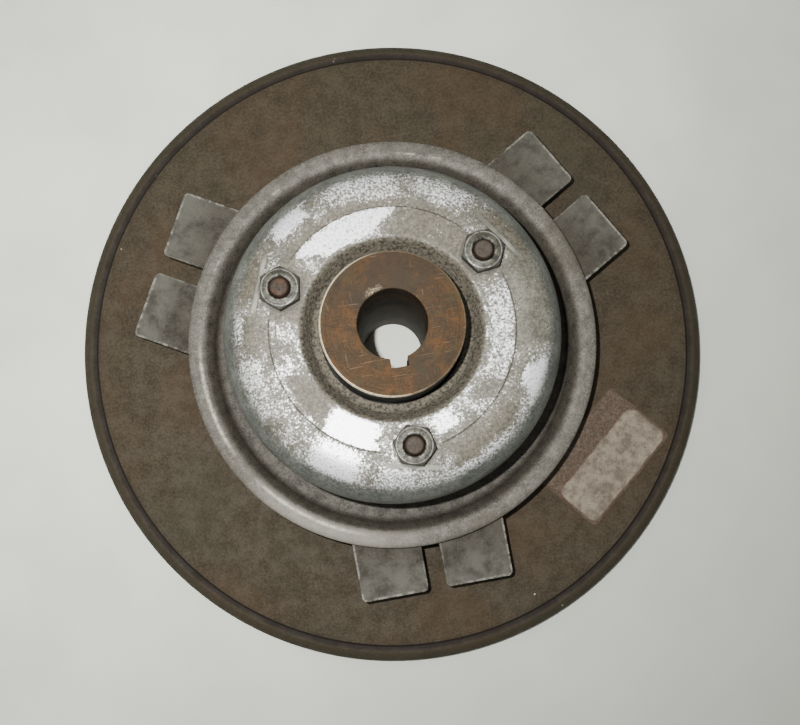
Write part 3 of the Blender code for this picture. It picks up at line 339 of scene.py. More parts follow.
def disc_iron():
    """Cast iron gone brown: fine mottle, faint greenish and reddish drifts, painted shade in the rim's
    groove.
    """
    f = Finish("disc_iron", gloss=0.2)
    grain = f.noise(0.0011, 4, 0.65)
    mottle = f.noise(0.0060, 4, 0.6)
    drift = f.noise(0.034, 3, 0.5)
    tone = f.weigh(grain, 0.70, mottle, 0.30)
    f.colour = f.tones(tone, 0.33, 0.67, (57, 50, 37), (87, 77, 59))
    f.coat(f.ramp(drift, 0.45, 0.72, 0.0, 0.35), 90, 69, 46)
    f.coat(f.ramp(drift, 0.50, 0.28, 0.0, 0.40), 72, 70, 52)
    rim = f.at_radius(129.3, 130.5)
    f.coat(f.both(rim, 0.55), 66, 61, 48)
    # Painted shade: the rim's groove is painted dark.
    groove = f.both(f.at_radius(126.2, 127.8), f.at_radius(130.8, 128.8))
    f.coat(f.both(groove, 0.85), 37, 31, 27)
    speck_field = f.both(f.ramp(f.cells(0.0052), 0.10, 0.05), f.ramp(f.noise(0.021, 2), 0.60, 0.68))
    specks = f.both(speck_field, f.at_radius(118.0, 123.0), 0.9)
    f.coat(specks, 196, 190, 178)
    edge = f.both(f.at_radius(134.2, 134.9), f.ramp(f.noise(0.004, 4), 0.45, 0.60), 0.5)
    f.coat(edge, 110, 102, 82)
    f.bump(grain, 0.00010, 0.8)
    f.bump(mottle, 0.00020, 0.5)
    f.bump(f.rings(0.0011), 0.00004, 0.5)
    return f.done(f.ramp(mottle, 0.3, 0.7, 0.80, 0.64))


def cap_zinc():
    """Zinc plate: tarnished grey and sparkling, white where worn and in painted glints of the light, brown
    round the nuts, grimy inside; with painted shade round the nuts and along the creases, a painted highlight
    on the pads' slopes and a painted reflection on the shoulder.
    """
    f = Finish("cap_zinc", gloss=0.4)
    ragged = f.math("SUBTRACT", f.noise(0.0042, 5, 0.7), 0.5)
    sparkle = f.noise(0.00085, 4, 0.7)
    speckle = f.noise(0.0012, 4, 0.7)
    cloud = f.noise(0.010, 4, 0.6)

    tone = f.weigh(speckle, 0.6, cloud, 0.4)
    f.colour = f.tones(tone, 0.36, 0.64, (104, 101, 88), (150, 147, 134))

    browned = f.patches(
        ragged,
        (31, 11, 53, 60.5, 6.0, 2.0),
        (150, 11, 53, 60, 6.0, 2.0),
        (173, 6, 46, 55, 5.0, 2.0),
        (92, 44, 45.7, 49, 6.0, 1.5),
        (48, 30, 35, 46, 6.0),
        (151, 15, 35, 46, 6.0),
        (209, 12, 35, 44, 6.0),
        (302, 18, 47, 55.5, 6.0, 2.0),
    )
    plain_stretch = f.patch(2, 19, 46.5, 61, ragged, 6.0, 2.0)
    brown = f.tones(speckle, 0.34, 0.62, (92, 86, 71), (130, 123, 107))
    f.coat(f.both(browned, 0.8), brown)

    # Painted highlight: the glare patch is a painted reflection of the key light, where its mirror image
    # falls on the plate.
    glare = f.patch(238, 15, 35.2, 46.0, ragged, 5.0, 1.2)
    solid_white = f.patches(
        ragged,
        (106, 28, 35.8, 46.2, 4.0, 0.8, 11.0),
        (290, 9, 35.2, 43.0, 7.0, 1.5),
        (331, 11, 51.0, 60.5, 4.0, 1.5, 6.0),
        (124, 9, 52.0, 60.0, 5.0, 2.0),
        (236, 13, 46.5, 60.0, 8.0, 2.0),
    )
    half_white = f.patches(
        ragged,
        (187, 9, 50.0, 60.5, 6.0, 2.5),
        (92, 17, 50.0, 60.5, 8.0, 3.0),
        (190, 6, 38.0, 46.0, 6.0, 2.0),
        (343, 22, 36.5, 46.0, 9.0, 1.5),
        (169, 8, 55.0, 60.5, 6.0, 2.0),
        (286, 29, 56.0, 61.5, 8.0, 2.0),
        (60, 15, 51.0, 60.5, 8.0, 3.0),
        (262, 12, 48.0, 61.0, 8.0, 3.0),
    )
    share = f.either(
        f.both(glare, 0.90),
        f.both(solid_white, 0.72),
        f.both(f.patch(4, 12, 36.5, 46.0, ragged, 5.0, 1.0, 4.0), 0.47),
        f.both(half_white, 0.50),
        f.ramp(cloud, 0.38, 0.62, 0.18, 0.44),
    )
    share = f.math("SUBTRACT", share, f.both(plain_stretch, 0.26))
    share = f.math("SUBTRACT", share, f.both(browned, 0.26))
    share = f.math("ADD", share, f.both(f.math("SUBTRACT", speckle, 0.5), 0.5))
    grains = f.math("ADD", sparkle, f.both(share, 0.5))
    top = f.at_radius(63.0, 58.0)
    # The white coat is worn plate and painted glints of the light together.
    bare_and_glint = f.both(f.ramp(grains, 0.66, 0.86), top, f.at_radius(34.2, 35.2))
    f.coat(bare_and_glint, 232, 232, 228)
    pepper = f.both(f.spots(0.00075, 4, 0.75, 0.53, 0.64), f.ramp(bare_and_glint, 0.0, 1.0, 0.75, 0.45))
    f.coat(pepper, 76, 72, 62)

    # Painted reflection: the smooth shoulder is painted a cooler blue-grey for the darker surroundings it
    # reflects.
    shoulder = f.at_radius(57.0, 62.5)
    smooth_reflecting_tone = f.tones(tone, 0.38, 0.62, (92, 96, 93), (134, 137, 132))
    f.coat(f.both(shoulder, 0.85), smooth_reflecting_tone)

    grime = f.at_radius(35.3, 34.0)
    dirt = f.tones(speckle, 0.36, 0.60, (58, 54, 45), (122, 115, 99))
    dirt = f.mix(f.ramp(sparkle, 0.62, 0.70), dirt, srgb(168, 162, 146))
    f.coat(f.both(grime, 0.95), dirt)

    # Painted highlight: the pads' slopes are painted lighter than the plate round them.
    slope = f.tones(cloud, 0.35, 0.65, (140, 139, 129), (182, 181, 171))
    f.coat(f.both(f.painted("slope"), 0.9), slope)
    # Painted shade with some dirt: dark lines along the step and at the pads' slopes.
    step = f.painted("step")
    f.coat(f.both(step, f.ramp(cloud, 0.35, 0.6, 0.45, 0.95)), 62, 57, 47)
    # Painted shade: a dark ring on the plate round each nut.
    for angle in FORK_ANGLES:
        away = f.vector("DISTANCE", f.flat, polar(STUD_CIRCLE, angle))
        nut_shade = f.ramp(f.both(away, 1000.0), 9.0, 7.9)
        f.coat(f.both(nut_shade, 0.6), 66, 62, 53)

    rough = f.ramp(bare_and_glint, 0.0, 1.0, 0.58, 0.44)
    rough = f.math("SUBTRACT", rough, f.both(shoulder, 0.12))
    rough = f.math("ADD", rough, f.both(grime, 0.25))
    f.set("Roughness", rough)
    shine = f.math("ADD", f.ramp(bare_and_glint, 0.0, 1.0, 0.18, 0.45), f.both(shoulder, 0.35))
    f.set("Metallic", f.both(shine, f.ramp(grime, 0.0, 1.0, 1.0, 0.15)))
    f.bump(speckle, 0.00006, 0.5)
    f.bump(f.both(speckle, grime), 0.00035)
    f.bump(sparkle, 0.00004, 0.7)
    return f.done()


def hub_steel():
    """Bored steel with a brown rust bloom: turning rings, duller drifts, a shiny edge with a painted
    highlight on one side, and one bright nick.
    """
    f = Finish("hub_steel", gloss=0.12)
    turning = f.rings(0.0007, 3)
    drift = f.noise(0.0085, 4, 0.6)
    grain = f.noise(0.0006, 4, 0.7)
    tone = f.weigh(turning, 0.25, grain, 0.75)
    f.colour = f.tones(tone, 0.34, 0.66, (64, 49, 33), (98, 75, 50))
    bloom = f.noise(0.0055, 5, 0.6, warp=0.4)
    f.coat(f.ramp(bloom, 0.50, 0.66, 0.0, 0.65), 110, 76, 42)
    f.coat(f.ramp(bloom, 0.48, 0.34, 0.0, 0.70), 62, 55, 43)
    olive = f.spots(0.0100, 3, 0.5, 0.52, 0.66, 0.0, 0.55)
    f.coat(olive, 86, 76, 50)
    dull = f.either(f.patch(90, 62, 12, 27, None, 24.0), f.patch(300, 16, 12, 27, None, 16.0))
    f.coat(f.both(dull, f.ramp(drift, 0.30, 0.62, 0.20, 0.80)), 66, 57, 46)
    pitted = f.spots(0.0022, 5, 0.75, 0.52, 0.66, 0.0, 0.6)
    f.coat(pitted, 58, 47, 34)
    scratch = f.noise(0.0009, 1, 0.4, stretch=(0.12, 1.6, 1.0), warp=0.25)
    f.coat(f.ramp(scratch, 0.68, 0.77, 0.0, 0.50), 134, 112, 86)
    crossing = f.noise(0.0010, 1, 0.4, stretch=(1.5, 0.16, 1.0), warp=0.3)
    f.coat(f.ramp(crossing, 0.70, 0.78, 0.0, 0.45), 126, 106, 84)

    wall = f.at_radius(26.35, 26.5)
    side = f.tones(drift, 0.35, 0.65, (46, 47, 47), (82, 83, 82))
    f.coat(wall, side)
    bore = f.at_radius(12.80, 12.72)
    inside = f.tones(drift, 0.35, 0.65, (44, 34, 25), (74, 58, 42))
    f.coat(bore, inside)

    ragged = f.math("SUBTRACT", f.noise(0.0014, 4, 0.7), 0.5)
    nick = f.patch(110, 11, 12.7, 14.4, ragged, 8.0, 1.0)
    edge_noise = f.ramp(f.noise(0.0030, 3), 0.30, 0.55, 0.35, 1.0)
    # Painted highlight: the shiny edge is painted brightest round 190 degrees, towards the light, and faint
    # elsewhere.
    edge_highlight = f.ramp(f.turned_from(190), 105.0, 35.0, 0.06, 1.0)
    edge = f.both(f.at_radius(25.75, 25.95), f.at_radius(26.60, 26.45), edge_noise, edge_highlight)
    front = f.ramp(f.height, 0.0785, 0.0790)
    bright = f.both(f.either(f.both(nick, f.ramp(grain, 0.40, 0.62, 0.0, 0.35)), edge), front)
    f.coat(bright, 214, 208, 194)
    f.set("Metallic", f.ramp(bright, 0.0, 1.0, 0.0, 0.7))
    f.bump(turning, 0.00004, 0.6)
    f.bump(grain, 0.00006, 0.8)
    return f.done(f.ramp(bright, 0.0, 1.0, 0.68, 0.36))


def ring_zinc():
    """Dull zinc on the flange ring: grey and stained, darker in the channel with dirt and painted shade, with
    painted highlights along its inner edge and on the lip round 240 degrees.
    """
    f = Finish("ring_zinc", metallic=0.15, gloss=0.3)
    mottle = f.noise(0.0040, 4, 0.6)
    grain = f.noise(0.0007, 4, 0.7)
    tone = f.weigh(mottle, 0.4, grain, 0.6)
    f.colour = f.tones(tone, 0.34, 0.66, (88, 85, 76), (136, 132, 122))
    ragged = f.math("SUBTRACT", f.noise(0.0035, 4, 0.7), 0.5)
    stain = f.patches(
        ragged,
        (259, 6, 76, 85, 7.0),
        (211, 4, 76, 85, 6.0),
        (18, 8, 74, 85, 8.0),
        (285, 6, 79, 85, 7.0),
    )
    f.coat(f.both(stain, 0.50), 86, 79, 62)
    brown = f.ramp(f.noise(0.0048, 4, 0.65, warp=0.3), 0.50, 0.66, 0.0, 0.40)
    f.coat(brown, 98, 88, 76)
    freckle = f.both(f.spots(0.0018, 4, 0.75, 0.57, 0.67), 0.60)
    f.coat(freckle, 84, 74, 64)
    pale = f.both(f.spots(0.0016, 4, 0.7, 0.58, 0.68), 0.35)
    f.coat(pale, 168, 165, 156)
    # Painted highlight: a paler stretch of the lip round 240 degrees.
    f.coat(f.both(f.patch(240, 24, 77, 85, ragged, 14.0), 0.40), 174, 170, 162)
    # Painted shade with dirt: the channel's floor and inner wall are painted darker.
    channel_shade = f.both(f.at_radius(78.2, 75.6), f.ramp(f.height, 0.0212, 0.0220), f.at_radius(64.0, 65.0))
    channel = f.tones(tone, 0.36, 0.64, (52, 49, 42), (92, 86, 74))
    f.coat(f.both(channel_shade, 0.9), channel)
    # Painted highlights along the lip's inner edge: glints at two headings and a broken bright line.
    glints = f.patches(None, (187, 15, 78.6, 79.6, 6.0, 0.7), (232, 15, 78.6, 79.6, 6.0, 0.7))
    dashed = f.spots(0.008, 3, 0.55, 0.58, 0.68, 0.0, 0.7)
    highlight_dashes = f.both(f.patch(100, 80, 78.8, 79.2, None, 3.0, 0.4), dashed)
    edge = f.both(f.either(glints, highlight_dashes), f.spots(0.0030, 4, 0.7, 0.38, 0.58, 0.25, 0.8))
    f.coat(edge, 198, 196, 187)
    f.bump(grain, 0.00005, 0.8)
    f.bump(mottle, 0.00008, 0.6)
    return f.done(f.ramp(tone, 0.3, 0.7, 0.70, 0.54))


def fork_zinc():
    """Pressed sheet with dull plating: soft stains, browner by the ring, paler at the worn ends."""
    f = Finish("fork_zinc", metallic=0.10, gloss=0.25)
    f.shuffle()
    stain = f.noise(0.0090, 4, 0.6)
    cloud = f.noise(0.0030, 4, 0.65)
    grain = f.noise(0.0007, 3, 0.6)
    tone = f.math("ADD", f.weigh(stain, 0.45, cloud, 0.30), f.both(grain, 0.25))
    f.colour = f.tones(tone, 0.37, 0.61, (54, 50, 41), (91, 88, 77))
    worn = f.both(f.ramp(f.x, 0.0850, 0.1010), f.ramp(stain, 0.34, 0.62, 0.2, 0.7))
    f.coat(worn, 110, 107, 97)
    browned = f.both(f.ramp(f.x, 0.0960, 0.0820), f.ramp(cloud, 0.42, 0.60, 0.1, 0.6))
    f.coat(browned, 70, 60, 47)
    pits = f.spots(0.0017, 5, 0.75, 0.59, 0.70, 0.0, 0.55)
    f.coat(pits, 46, 41, 33)
    across = f.both(f.math("ABSOLUTE", f.y), 1000.0)
    side = f.ramp(across, 1000 * FORK_HALF_WIDTH - 1.2, 1000 * FORK_HALF_WIDTH - 0.5)
    slot = f.ramp(across, 500 * FORK_SLOT_WIDTH + 1.0, 500 * FORK_SLOT_WIDTH + 0.4, 0.0, 0.4)
    end = f.ramp(f.x, FORK_TIP - 0.0014, FORK_TIP - 0.0006)
    rubbed = f.both(f.either(side, slot, end), f.ramp(cloud, 0.42, 0.60, 0.05, 0.9))
    f.coat(f.both(rubbed, 0.7), 164, 162, 153)
    f.bump(grain, 0.00006, 0.8)
    f.bump(cloud, 0.00010, 0.6)
    return f.done(f.ramp(tone, 0.3, 0.7, 0.76, 0.58))


def nut_zinc():
    """Nuts: grey plate, paler round the stud and on the chamfer, which is worn and carries a painted
    highlight, with painted shade on the sides and at the foot.
    """
    f = Finish("nut_zinc", metallic=0.30, gloss=0.35)
    f.shuffle()
    grain = f.noise(0.0006, 4, 0.7)
    blotch = f.noise(0.0024, 4, 0.65)
    tone = f.weigh(blotch, 0.6, grain, 0.4)
    f.colour = f.tones(tone, 0.38, 0.62, (51, 49, 40), (99, 97, 84))
    corners = f.at_radius(6.75, 7.0)
    f.coat(f.both(corners, 0.7), 74, 73, 66)
    # Worn plate and a painted highlight: the chamfer is painted paler.
    chamfer = f.both(f.at_radius(6.35, 6.6), f.at_radius(7.0, 6.75))
    f.coat(f.both(chamfer, f.ramp(blotch, 0.35, 0.60, 0.25, 0.95)), 164, 162, 154)
    mouth = f.both(f.at_radius(5.1, 4.6), f.ramp(blotch, 0.44, 0.60, 0.0, 0.7))
    f.coat(mouth, 148, 146, 137)
    # Painted shade: the sides are painted darker than the top.
    sides = f.both(f.ramp(f.height, 0.0719, 0.0714), f.at_radius(6.2, 6.6))
    f.coat(f.both(sides, 0.8), 58, 56, 50)
    # Painted shade at the foot, where the nut sits on the cap.
    foot = f.ramp(f.height, 0.0690, 0.0681)
    f.coat(f.both(foot, 0.7), 46, 42, 36)
    f.bump(grain, 0.00005, 0.8)
    return f.done(f.ramp(tone, 0.3, 0.7, 0.60, 0.42))


def stud_rust():
    """Stud ends: red-brown rust, greyer where paint() stored silver."""
    f = Finish("stud_rust", gloss=0.25)
    f.shuffle()
    grain = f.noise(0.0006, 4, 0.75)
    blotch = f.noise(0.0026, 3, 0.6)
    silver = f.painted("silver")
    f.colour = f.tones(grain, 0.32, 0.66, (46, 37, 27), (74, 58, 41))
    orange = f.both(f.ramp(blotch, 0.50, 0.60), f.ramp(silver, 0.4, 0.1))
    f.coat(f.both(orange, 0.55), 102, 66, 38)
    grey = f.both(f.ramp(blotch, 0.35, 0.60, 0.4, 1.0), silver, f.at_radius(3.6, 2.6, 0.2, 1.0))
    f.coat(grey, 78, 69, 58)
    rim = f.at_radius(2.8, 3.6)
    f.coat(f.both(rim, 0.65), 44, 34, 27)
    f.bump(grain, 0.00012, 0.9)
    return f.done(f.ramp(grain, 0.3, 0.7, 0.72, 0.50))


def label_paper():
    """Old paper label, blank: a pale panel in a red-brown border, rubbed away beside the ring."""
    f = Finish("label_paper", roughness=0.85, gloss=0.15)
    fibre = f.noise(0.0009, 4, 0.7)
    blotch = f.noise(0.0045, 4, 0.65)
    wobble = f.both(f.math("SUBTRACT", f.noise(0.0040, 4, 0.65), 0.5), 2.2)
    border = f.tones(fibre, 0.35, 0.65, (84, 72, 60), (114, 99, 85))
    faded = f.spots(0.0022, 4, 0.7, 0.52, 0.62, 0.0, 0.55)
    border = f.mix(faded, border, srgb(124, 112, 97))
    panel = f.tones(blotch, 0.34, 0.66, (122, 112, 99), (158, 148, 134))
    panel = f.mix(f.ramp(fibre, 0.50, 0.68, 0.0, 0.55), panel, srgb(98, 87, 73))
    rubbed = f.ramp(f.noise(0.0085, 4, 0.6, warp=0.5), 0.56, 0.72, 0.0, 0.55)
    panel = f.mix(rubbed, panel, srgb(96, 88, 72))
    x, y = f.both(f.x, 1000.0), f.both(f.y, 1000.0)
    # The panel is 48.4 x 19.6 mm with 3.4 mm corners, and its middle is at Y -5.4
    across = f.math("SUBTRACT", f.math("ABSOLUTE", x), 24.2 - 3.4)
    along = f.math("SUBTRACT", f.math("ABSOLUTE", f.math("ADD", y, 5.4)), 9.8 - 3.4)
    corner = f.add("ShaderNodeCombineXYZ", {0: f.either(across, 0.0), 1: f.either(along, 0.0)})
    away = f.math("ADD", f.vector("LENGTH", corner.outputs[0]), wobble)
    f.colour = f.mix(f.ramp(away, 4.3, 3.2), border, panel)
    outline = f.both(f.ramp(away, 3.3, 4.0), f.ramp(away, 5.3, 4.3))
    f.coat(f.both(outline, f.ramp(blotch, 0.40, 0.62, 0.05, 0.65)), 94, 68, 60)
    edge = f.either(
        f.ramp(f.math("ABSOLUTE", x), 24.2, 26.0),
        f.ramp(f.math("ABSOLUTE", y), 15.2, 17.0),
    )
    f.coat(f.both(edge, f.ramp(blotch, 0.38, 0.58, 0.35, 0.95)), 80, 70, 55)
    f.bump(blotch, 0.00015, 0.6)
    f.bump(fibre, 0.00006, 0.8)
    return f.done()


def plastic(name, dark, light, roughness):
    """Moulded plastic or rubber with a fine surface and dust."""
    f = Finish(name)
    fine = f.noise(0.0006, 3)
    broad = f.noise(0.006, 3)
    f.colour = f.tones(broad, 0.35, 0.65, dark, light)
    f.coat(f.spots(0.0025, 4, 0.7, 0.56, 0.72, 0.0, 0.35), 120, 112, 98)
    f.bump(fine, 0.00003, 0.8)
    return f.done(f.ramp(fine, 0.3, 0.7, roughness + 0.08, roughness - 0.08))


def coil_copper():
    """Enamelled copper wire, wound in close turns."""
    f = Finish("coil_copper", roughness=0.3, metallic=0.9)
    f.colour = f.tones(f.noise(0.003, 3), 0.3, 0.7, (142, 72, 40), (196, 112, 62))
    f.bump(f.math("SINE", f.both(f.height, tau / WIRE_PITCH)), 0.00012)
    return f.done()


def friction_lining():
    """Moulded lining: dark, matt, with pale and brassy flecks and rubbing marks round the shaft."""
    f = Finish("friction_lining", roughness=0.9)
    fleck = f.noise(0.0008, 3, 0.7)
    f.colour = f.tones(fleck, 0.35, 0.6, (52, 44, 36), (92, 78, 62))
    f.coat(f.ramp(fleck, 0.66, 0.72), 168, 140, 86)
    f.bump(fleck, 0.00008)
    f.bump(f.rings(0.0008), 0.00004, 0.8)
    return f.done()


def make_finishes():
    grey = ((120, 120, 122), (176, 176, 178))
    metals = {
        "bearing_steel": ((138, 138, 140), (196, 196, 198), 0.28, 1.0, 0.0006),
        "spring_steel": ((88, 88, 92), (134, 134, 138), 0.40, 1.0, None, 0.5),
        "armature_steel": (*grey, 0.42, 1.0, 0.0007, 0.7),
        "rotor_steel": (*grey, 0.40, 1.0, 0.0008, 0.6),
        "field_iron": ((92, 90, 86), (136, 133, 127), 0.52, 0.9, 0.001, 0.6),
        "terminal_brass": ((104, 98, 86), (140, 134, 120), 0.42, 1.0, None, 0.4),
    }
    plastics = {
        "seal_rubber": ((26, 26, 27), (44, 44, 44), 0.62),
        "former_nylon": ((176, 166, 138), (204, 194, 166), 0.5),
        "terminal_plastic": ((30, 30, 31), (50, 49, 48), 0.48),
        "lead_insulation": ((26, 25, 24), (46, 44, 41), 0.45),
    }
    plated = (cap_zinc, ring_zinc, fork_zinc, nut_zinc)
    others = (hub_steel, stud_rust, disc_iron, friction_lining, coil_copper, label_paper)
    finishes = {make.__name__: make() for make in (*plated, *others)}
    for make, rows in ((metal, metals), (plastic, plastics)):
        finishes.update({name: make(name, *settings) for name, settings in rows.items()})
    return finishes


# ---------------------------------------------------------------- mesh helpers


def arc(radius, start, stop, steps, centre=(0.0, 0.0)):
    """Points on an arc from start to stop, both ends included."""
    angles = [start + (stop - start) * i / steps for i in range(steps + 1)]
    return [(centre[0] + radius * cos(a), centre[1] + radius * sin(a)) for a in angles]


def polar(radius, angle, z=0.0):
    return Vector((radius * cos(angle), radius * sin(angle), z))


def rounded(profile, steps=4):
    """A closed outline with each corner rounded off over the length in its third number, if it has one."""
    points = [Vector(p[:2]) for p in profile]
    made = []
    for i, corner in enumerate(points):
        size = profile[i][2] if len(profile[i]) > 2 else 0.0
        if not size:
            made.append(tuple(corner))
            continue
        before = points[i - 1] - corner
        after = points[(i + 1) % len(points)] - corner
        a = corner + before.normalized() * min(size, before.length * 0.48)
        b = corner + after.normalized() * min(size, after.length * 0.48)
        for k in range(steps + 1):
            t = k / steps
            made.append(tuple(a * (1 - t) ** 2 + corner * 2 * t * (1 - t) + b * t * t))
    return made


def turned(profile, steps, place=(0, 0)):
    """The solid that a profile of (radius, z), closed or with both ends on the axis, makes in a turn."""
    bm = bmesh.new()
    rings = []
    for radius, z in profile:
        if radius < 1e-7:
            rings.append([bm.verts.new((place[0], place[1], z))] * steps)
            continue
        around = [polar(radius, tau * i / steps, z) for i in range(steps)]
        rings.append([bm.verts.new((p.x + place[0], p.y + place[1], z)) for p in around])
    pairs = list(zip(rings, rings[1:]))
    if profile[0][0] > 1e-7:
        pairs.append((rings[-1], rings[0]))
    for low, high in pairs:
        for i in range(steps):
            j = (i + 1) % steps
            corners = list(dict.fromkeys((low[i], low[j], high[j], high[i])))
            if len(corners) > 2:
                bm.faces.new(corners)
    return bm


def extruded(outline, low, high, bm=None):
    bm = bm or bmesh.new()
    face = bm.faces.new([bm.verts.new((x, y, low)) for x, y in outline])
    top = bmesh.ops.extrude_face_region(bm, geom=[face])
    moved = [item for item in top["geom"] if isinstance(item, bmesh.types.BMVert)]
    bmesh.ops.translate(bm, verts=moved, vec=(0, 0, high - low))
    return bm


def add_cylinders(bm, circle, angles, radius, low, high, steps=SMALL):
    """Adds an upright cylinder at each angle on a circle."""
    size = {"radius1": radius, "radius2": radius, "depth": high - low}
    for angle in angles:
        matrix = Matrix.Translation(polar(circle, angle, (low + high) / 2))
        bmesh.ops.create_cone(bm, cap_ends=True, segments=steps, matrix=matrix, **size)


def add_box(bm, low, high):
    size = [b - a for a, b in zip(low, high)]
    centre = [(a + b) / 2 for a, b in zip(low, high)]
    bmesh.ops.create_cube(bm, size=1.0, matrix=Matrix.Translation(centre) @ Matrix.Diagonal((*size, 1.0)))


def mesh_from(bm, name):
    bmesh.ops.recalc_face_normals(bm, faces=bm.faces)
    mesh = bpy.data.meshes.new(name)
    bm.to_mesh(mesh)
    bm.free()
    return mesh


def put_in_scene(data):
    obj = bpy.data.objects.new(data.name, data)
    bpy.context.scene.collection.objects.link(obj)
    return obj


def new_object(name, bm):
    return put_in_scene(mesh_from(bm, name))


def join(bm, other):
    """Adds the shape in other to the shape in bm."""
    mesh = mesh_from(other, "joined")
    bm.from_mesh(mesh)
    bpy.data.meshes.remove(mesh)


def carve(obj, bm, operation="DIFFERENCE"):
    """Cuts a shape out of an object, or joins it on, and keeps only the result."""
    tool = new_object("tool", bm)
    modifier = obj.modifiers.new("Boolean", "BOOLEAN")
    modifier.operation = operation
    modifier.solver = "EXACT"
    modifier.object = tool
    graph = bpy.context.evaluated_depsgraph_get()
    mesh = bpy.data.meshes.new_from_object(obj.evaluated_get(graph))
    obj.modifiers.clear()
    obj.data = mesh
    bpy.data.objects.remove(tool, do_unlink=True)


def paint(obj, name, function):
    """Stores a mask on the mesh, worked out from each point's place."""
    values = [float(function(v.co)) for v in obj.data.vertices]
    obj.data.attributes.new(name, "FLOAT", "POINT").data.foreach_set("value", values)


def ease_edges(obj, width, segments):
    edge = obj.modifiers.new("Bevel", "BEVEL")
    edge.width = width
    edge.segments = segments
    edge.limit_method = "ANGLE"
    edge.angle_limit = BEVEL_ANGLE
    edge.harden_normals = True


def dress(obj, finish, body, replaced, bevel=0.0):
    """Shades a piece, gives it its finish and its place in the frame."""
    obj.data.materials.clear()
    obj.data.materials.append(FINISHES[finish])
    obj.data.shade_smooth()
    obj.data.set_sharp_from_angle(angle=SHARP_ANGLE)
    if bevel:
        ease_edges(obj, bevel, 3)
    else:
        obj.modifiers.new("Normals", "WEIGHTED_NORMAL").keep_sharp = True
    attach(obj, body)
    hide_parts(replaced)


def ring_size(node):
    """Inner radius, outer radius, low and high of a node that goes round the shaft."""
    places = np.array([v.co for v in NODES[node].data.vertices])
    radius = np.hypot(places[:, 0], places[:, 1])
    return float(radius.min()), float(radius.max()), float(places[:, 2].min()), float(places[:, 2].max())


def smooth_step(value, start, stop):
    t = min(max((value - start) / (stop - start), 0.0), 1.0)
    return t * t * (3 - 2 * t)


# ---------------------------------------------------------------- pieces


def make_hub():
    _, flange, low, high = ring_size("hub_sleeve")
    journal, seat = 0.0272, 0.0295
    shape = [
        (BORE_RADIUS, high, 0.0006),
        (HUB_RADIUS, high, 0.0009),
        (HUB_RADIUS, 0.0561, 0.0004),
        (journal, 0.0553),
        (journal, 0.0550),
        (0.0258, 0.0550),
        (0.0258, 0.0532),
        (journal, 0.0532),
        (journal, 0.0437),
        (seat, 0.0437, 0.0004),
        (seat, 0.0360, 0.0004),
        (flange, 0.0360, 0.0005),
        (flange, 0.0316, 0.0005),
        (BACK_JOURNAL_RADIUS, 0.0316),
        (BACK_JOURNAL_RADIUS, 0.00305),
        (0.0233, 0.00305),
        (0.0233, 0.0012),
        (BACK_JOURNAL_RADIUS, 0.0012),
        (BACK_JOURNAL_RADIUS, low, 0.0006),
        (BORE_RADIUS, low, 0.0006),
    ]
    hub = new_object("hub", turned(rounded(shape), MEDIUM))
    cutter = bmesh.new()
    half = KEYWAY_WIDTH / 2
    add_box(cutter, (-half, -KEYWAY_FLOOR, low - 0.002), (half, -BORE_RADIUS / 2, high + 0.002))
    add_cylinders(cutter, ROTOR_SCREW_CIRCLE, FORK_ANGLES, SCREW_HOLE_RADIUS, 0.0306, 0.0354)
    carve(hub, cutter)
    dress(hub, "hub_steel", "hub", "hub_sleeve", bevel=0.00018)


def pad_shape(x, y, beyond=0.0, slope=PAD_SLOPE):
    """How far a point is inside each pad's straight edge and between its sloping sides, both 0 to 1."""
    shapes = []
    for (angle, reach), nut in zip(PADS, FORK_ANGLES):
        forward = x * cos(angle) + y * sin(angle)
        sideways = y * cos(angle) - x * sin(angle) - STUD_CIRCLE * sin(nut - angle)
        inside = smooth_step(reach + beyond - forward, -slope, slope)
        between = smooth_step(PAD_HALF_WIDTH - abs(sideways), -0.0030, 0.0022)
        shapes.append((inside, between if forward > 0 else 0.0))
    return shapes


def pad_height(x, y):
    """0 off the pads and 1 on them, with a short slope between."""
    return max(inside * between for inside, between in pad_shape(x, y))


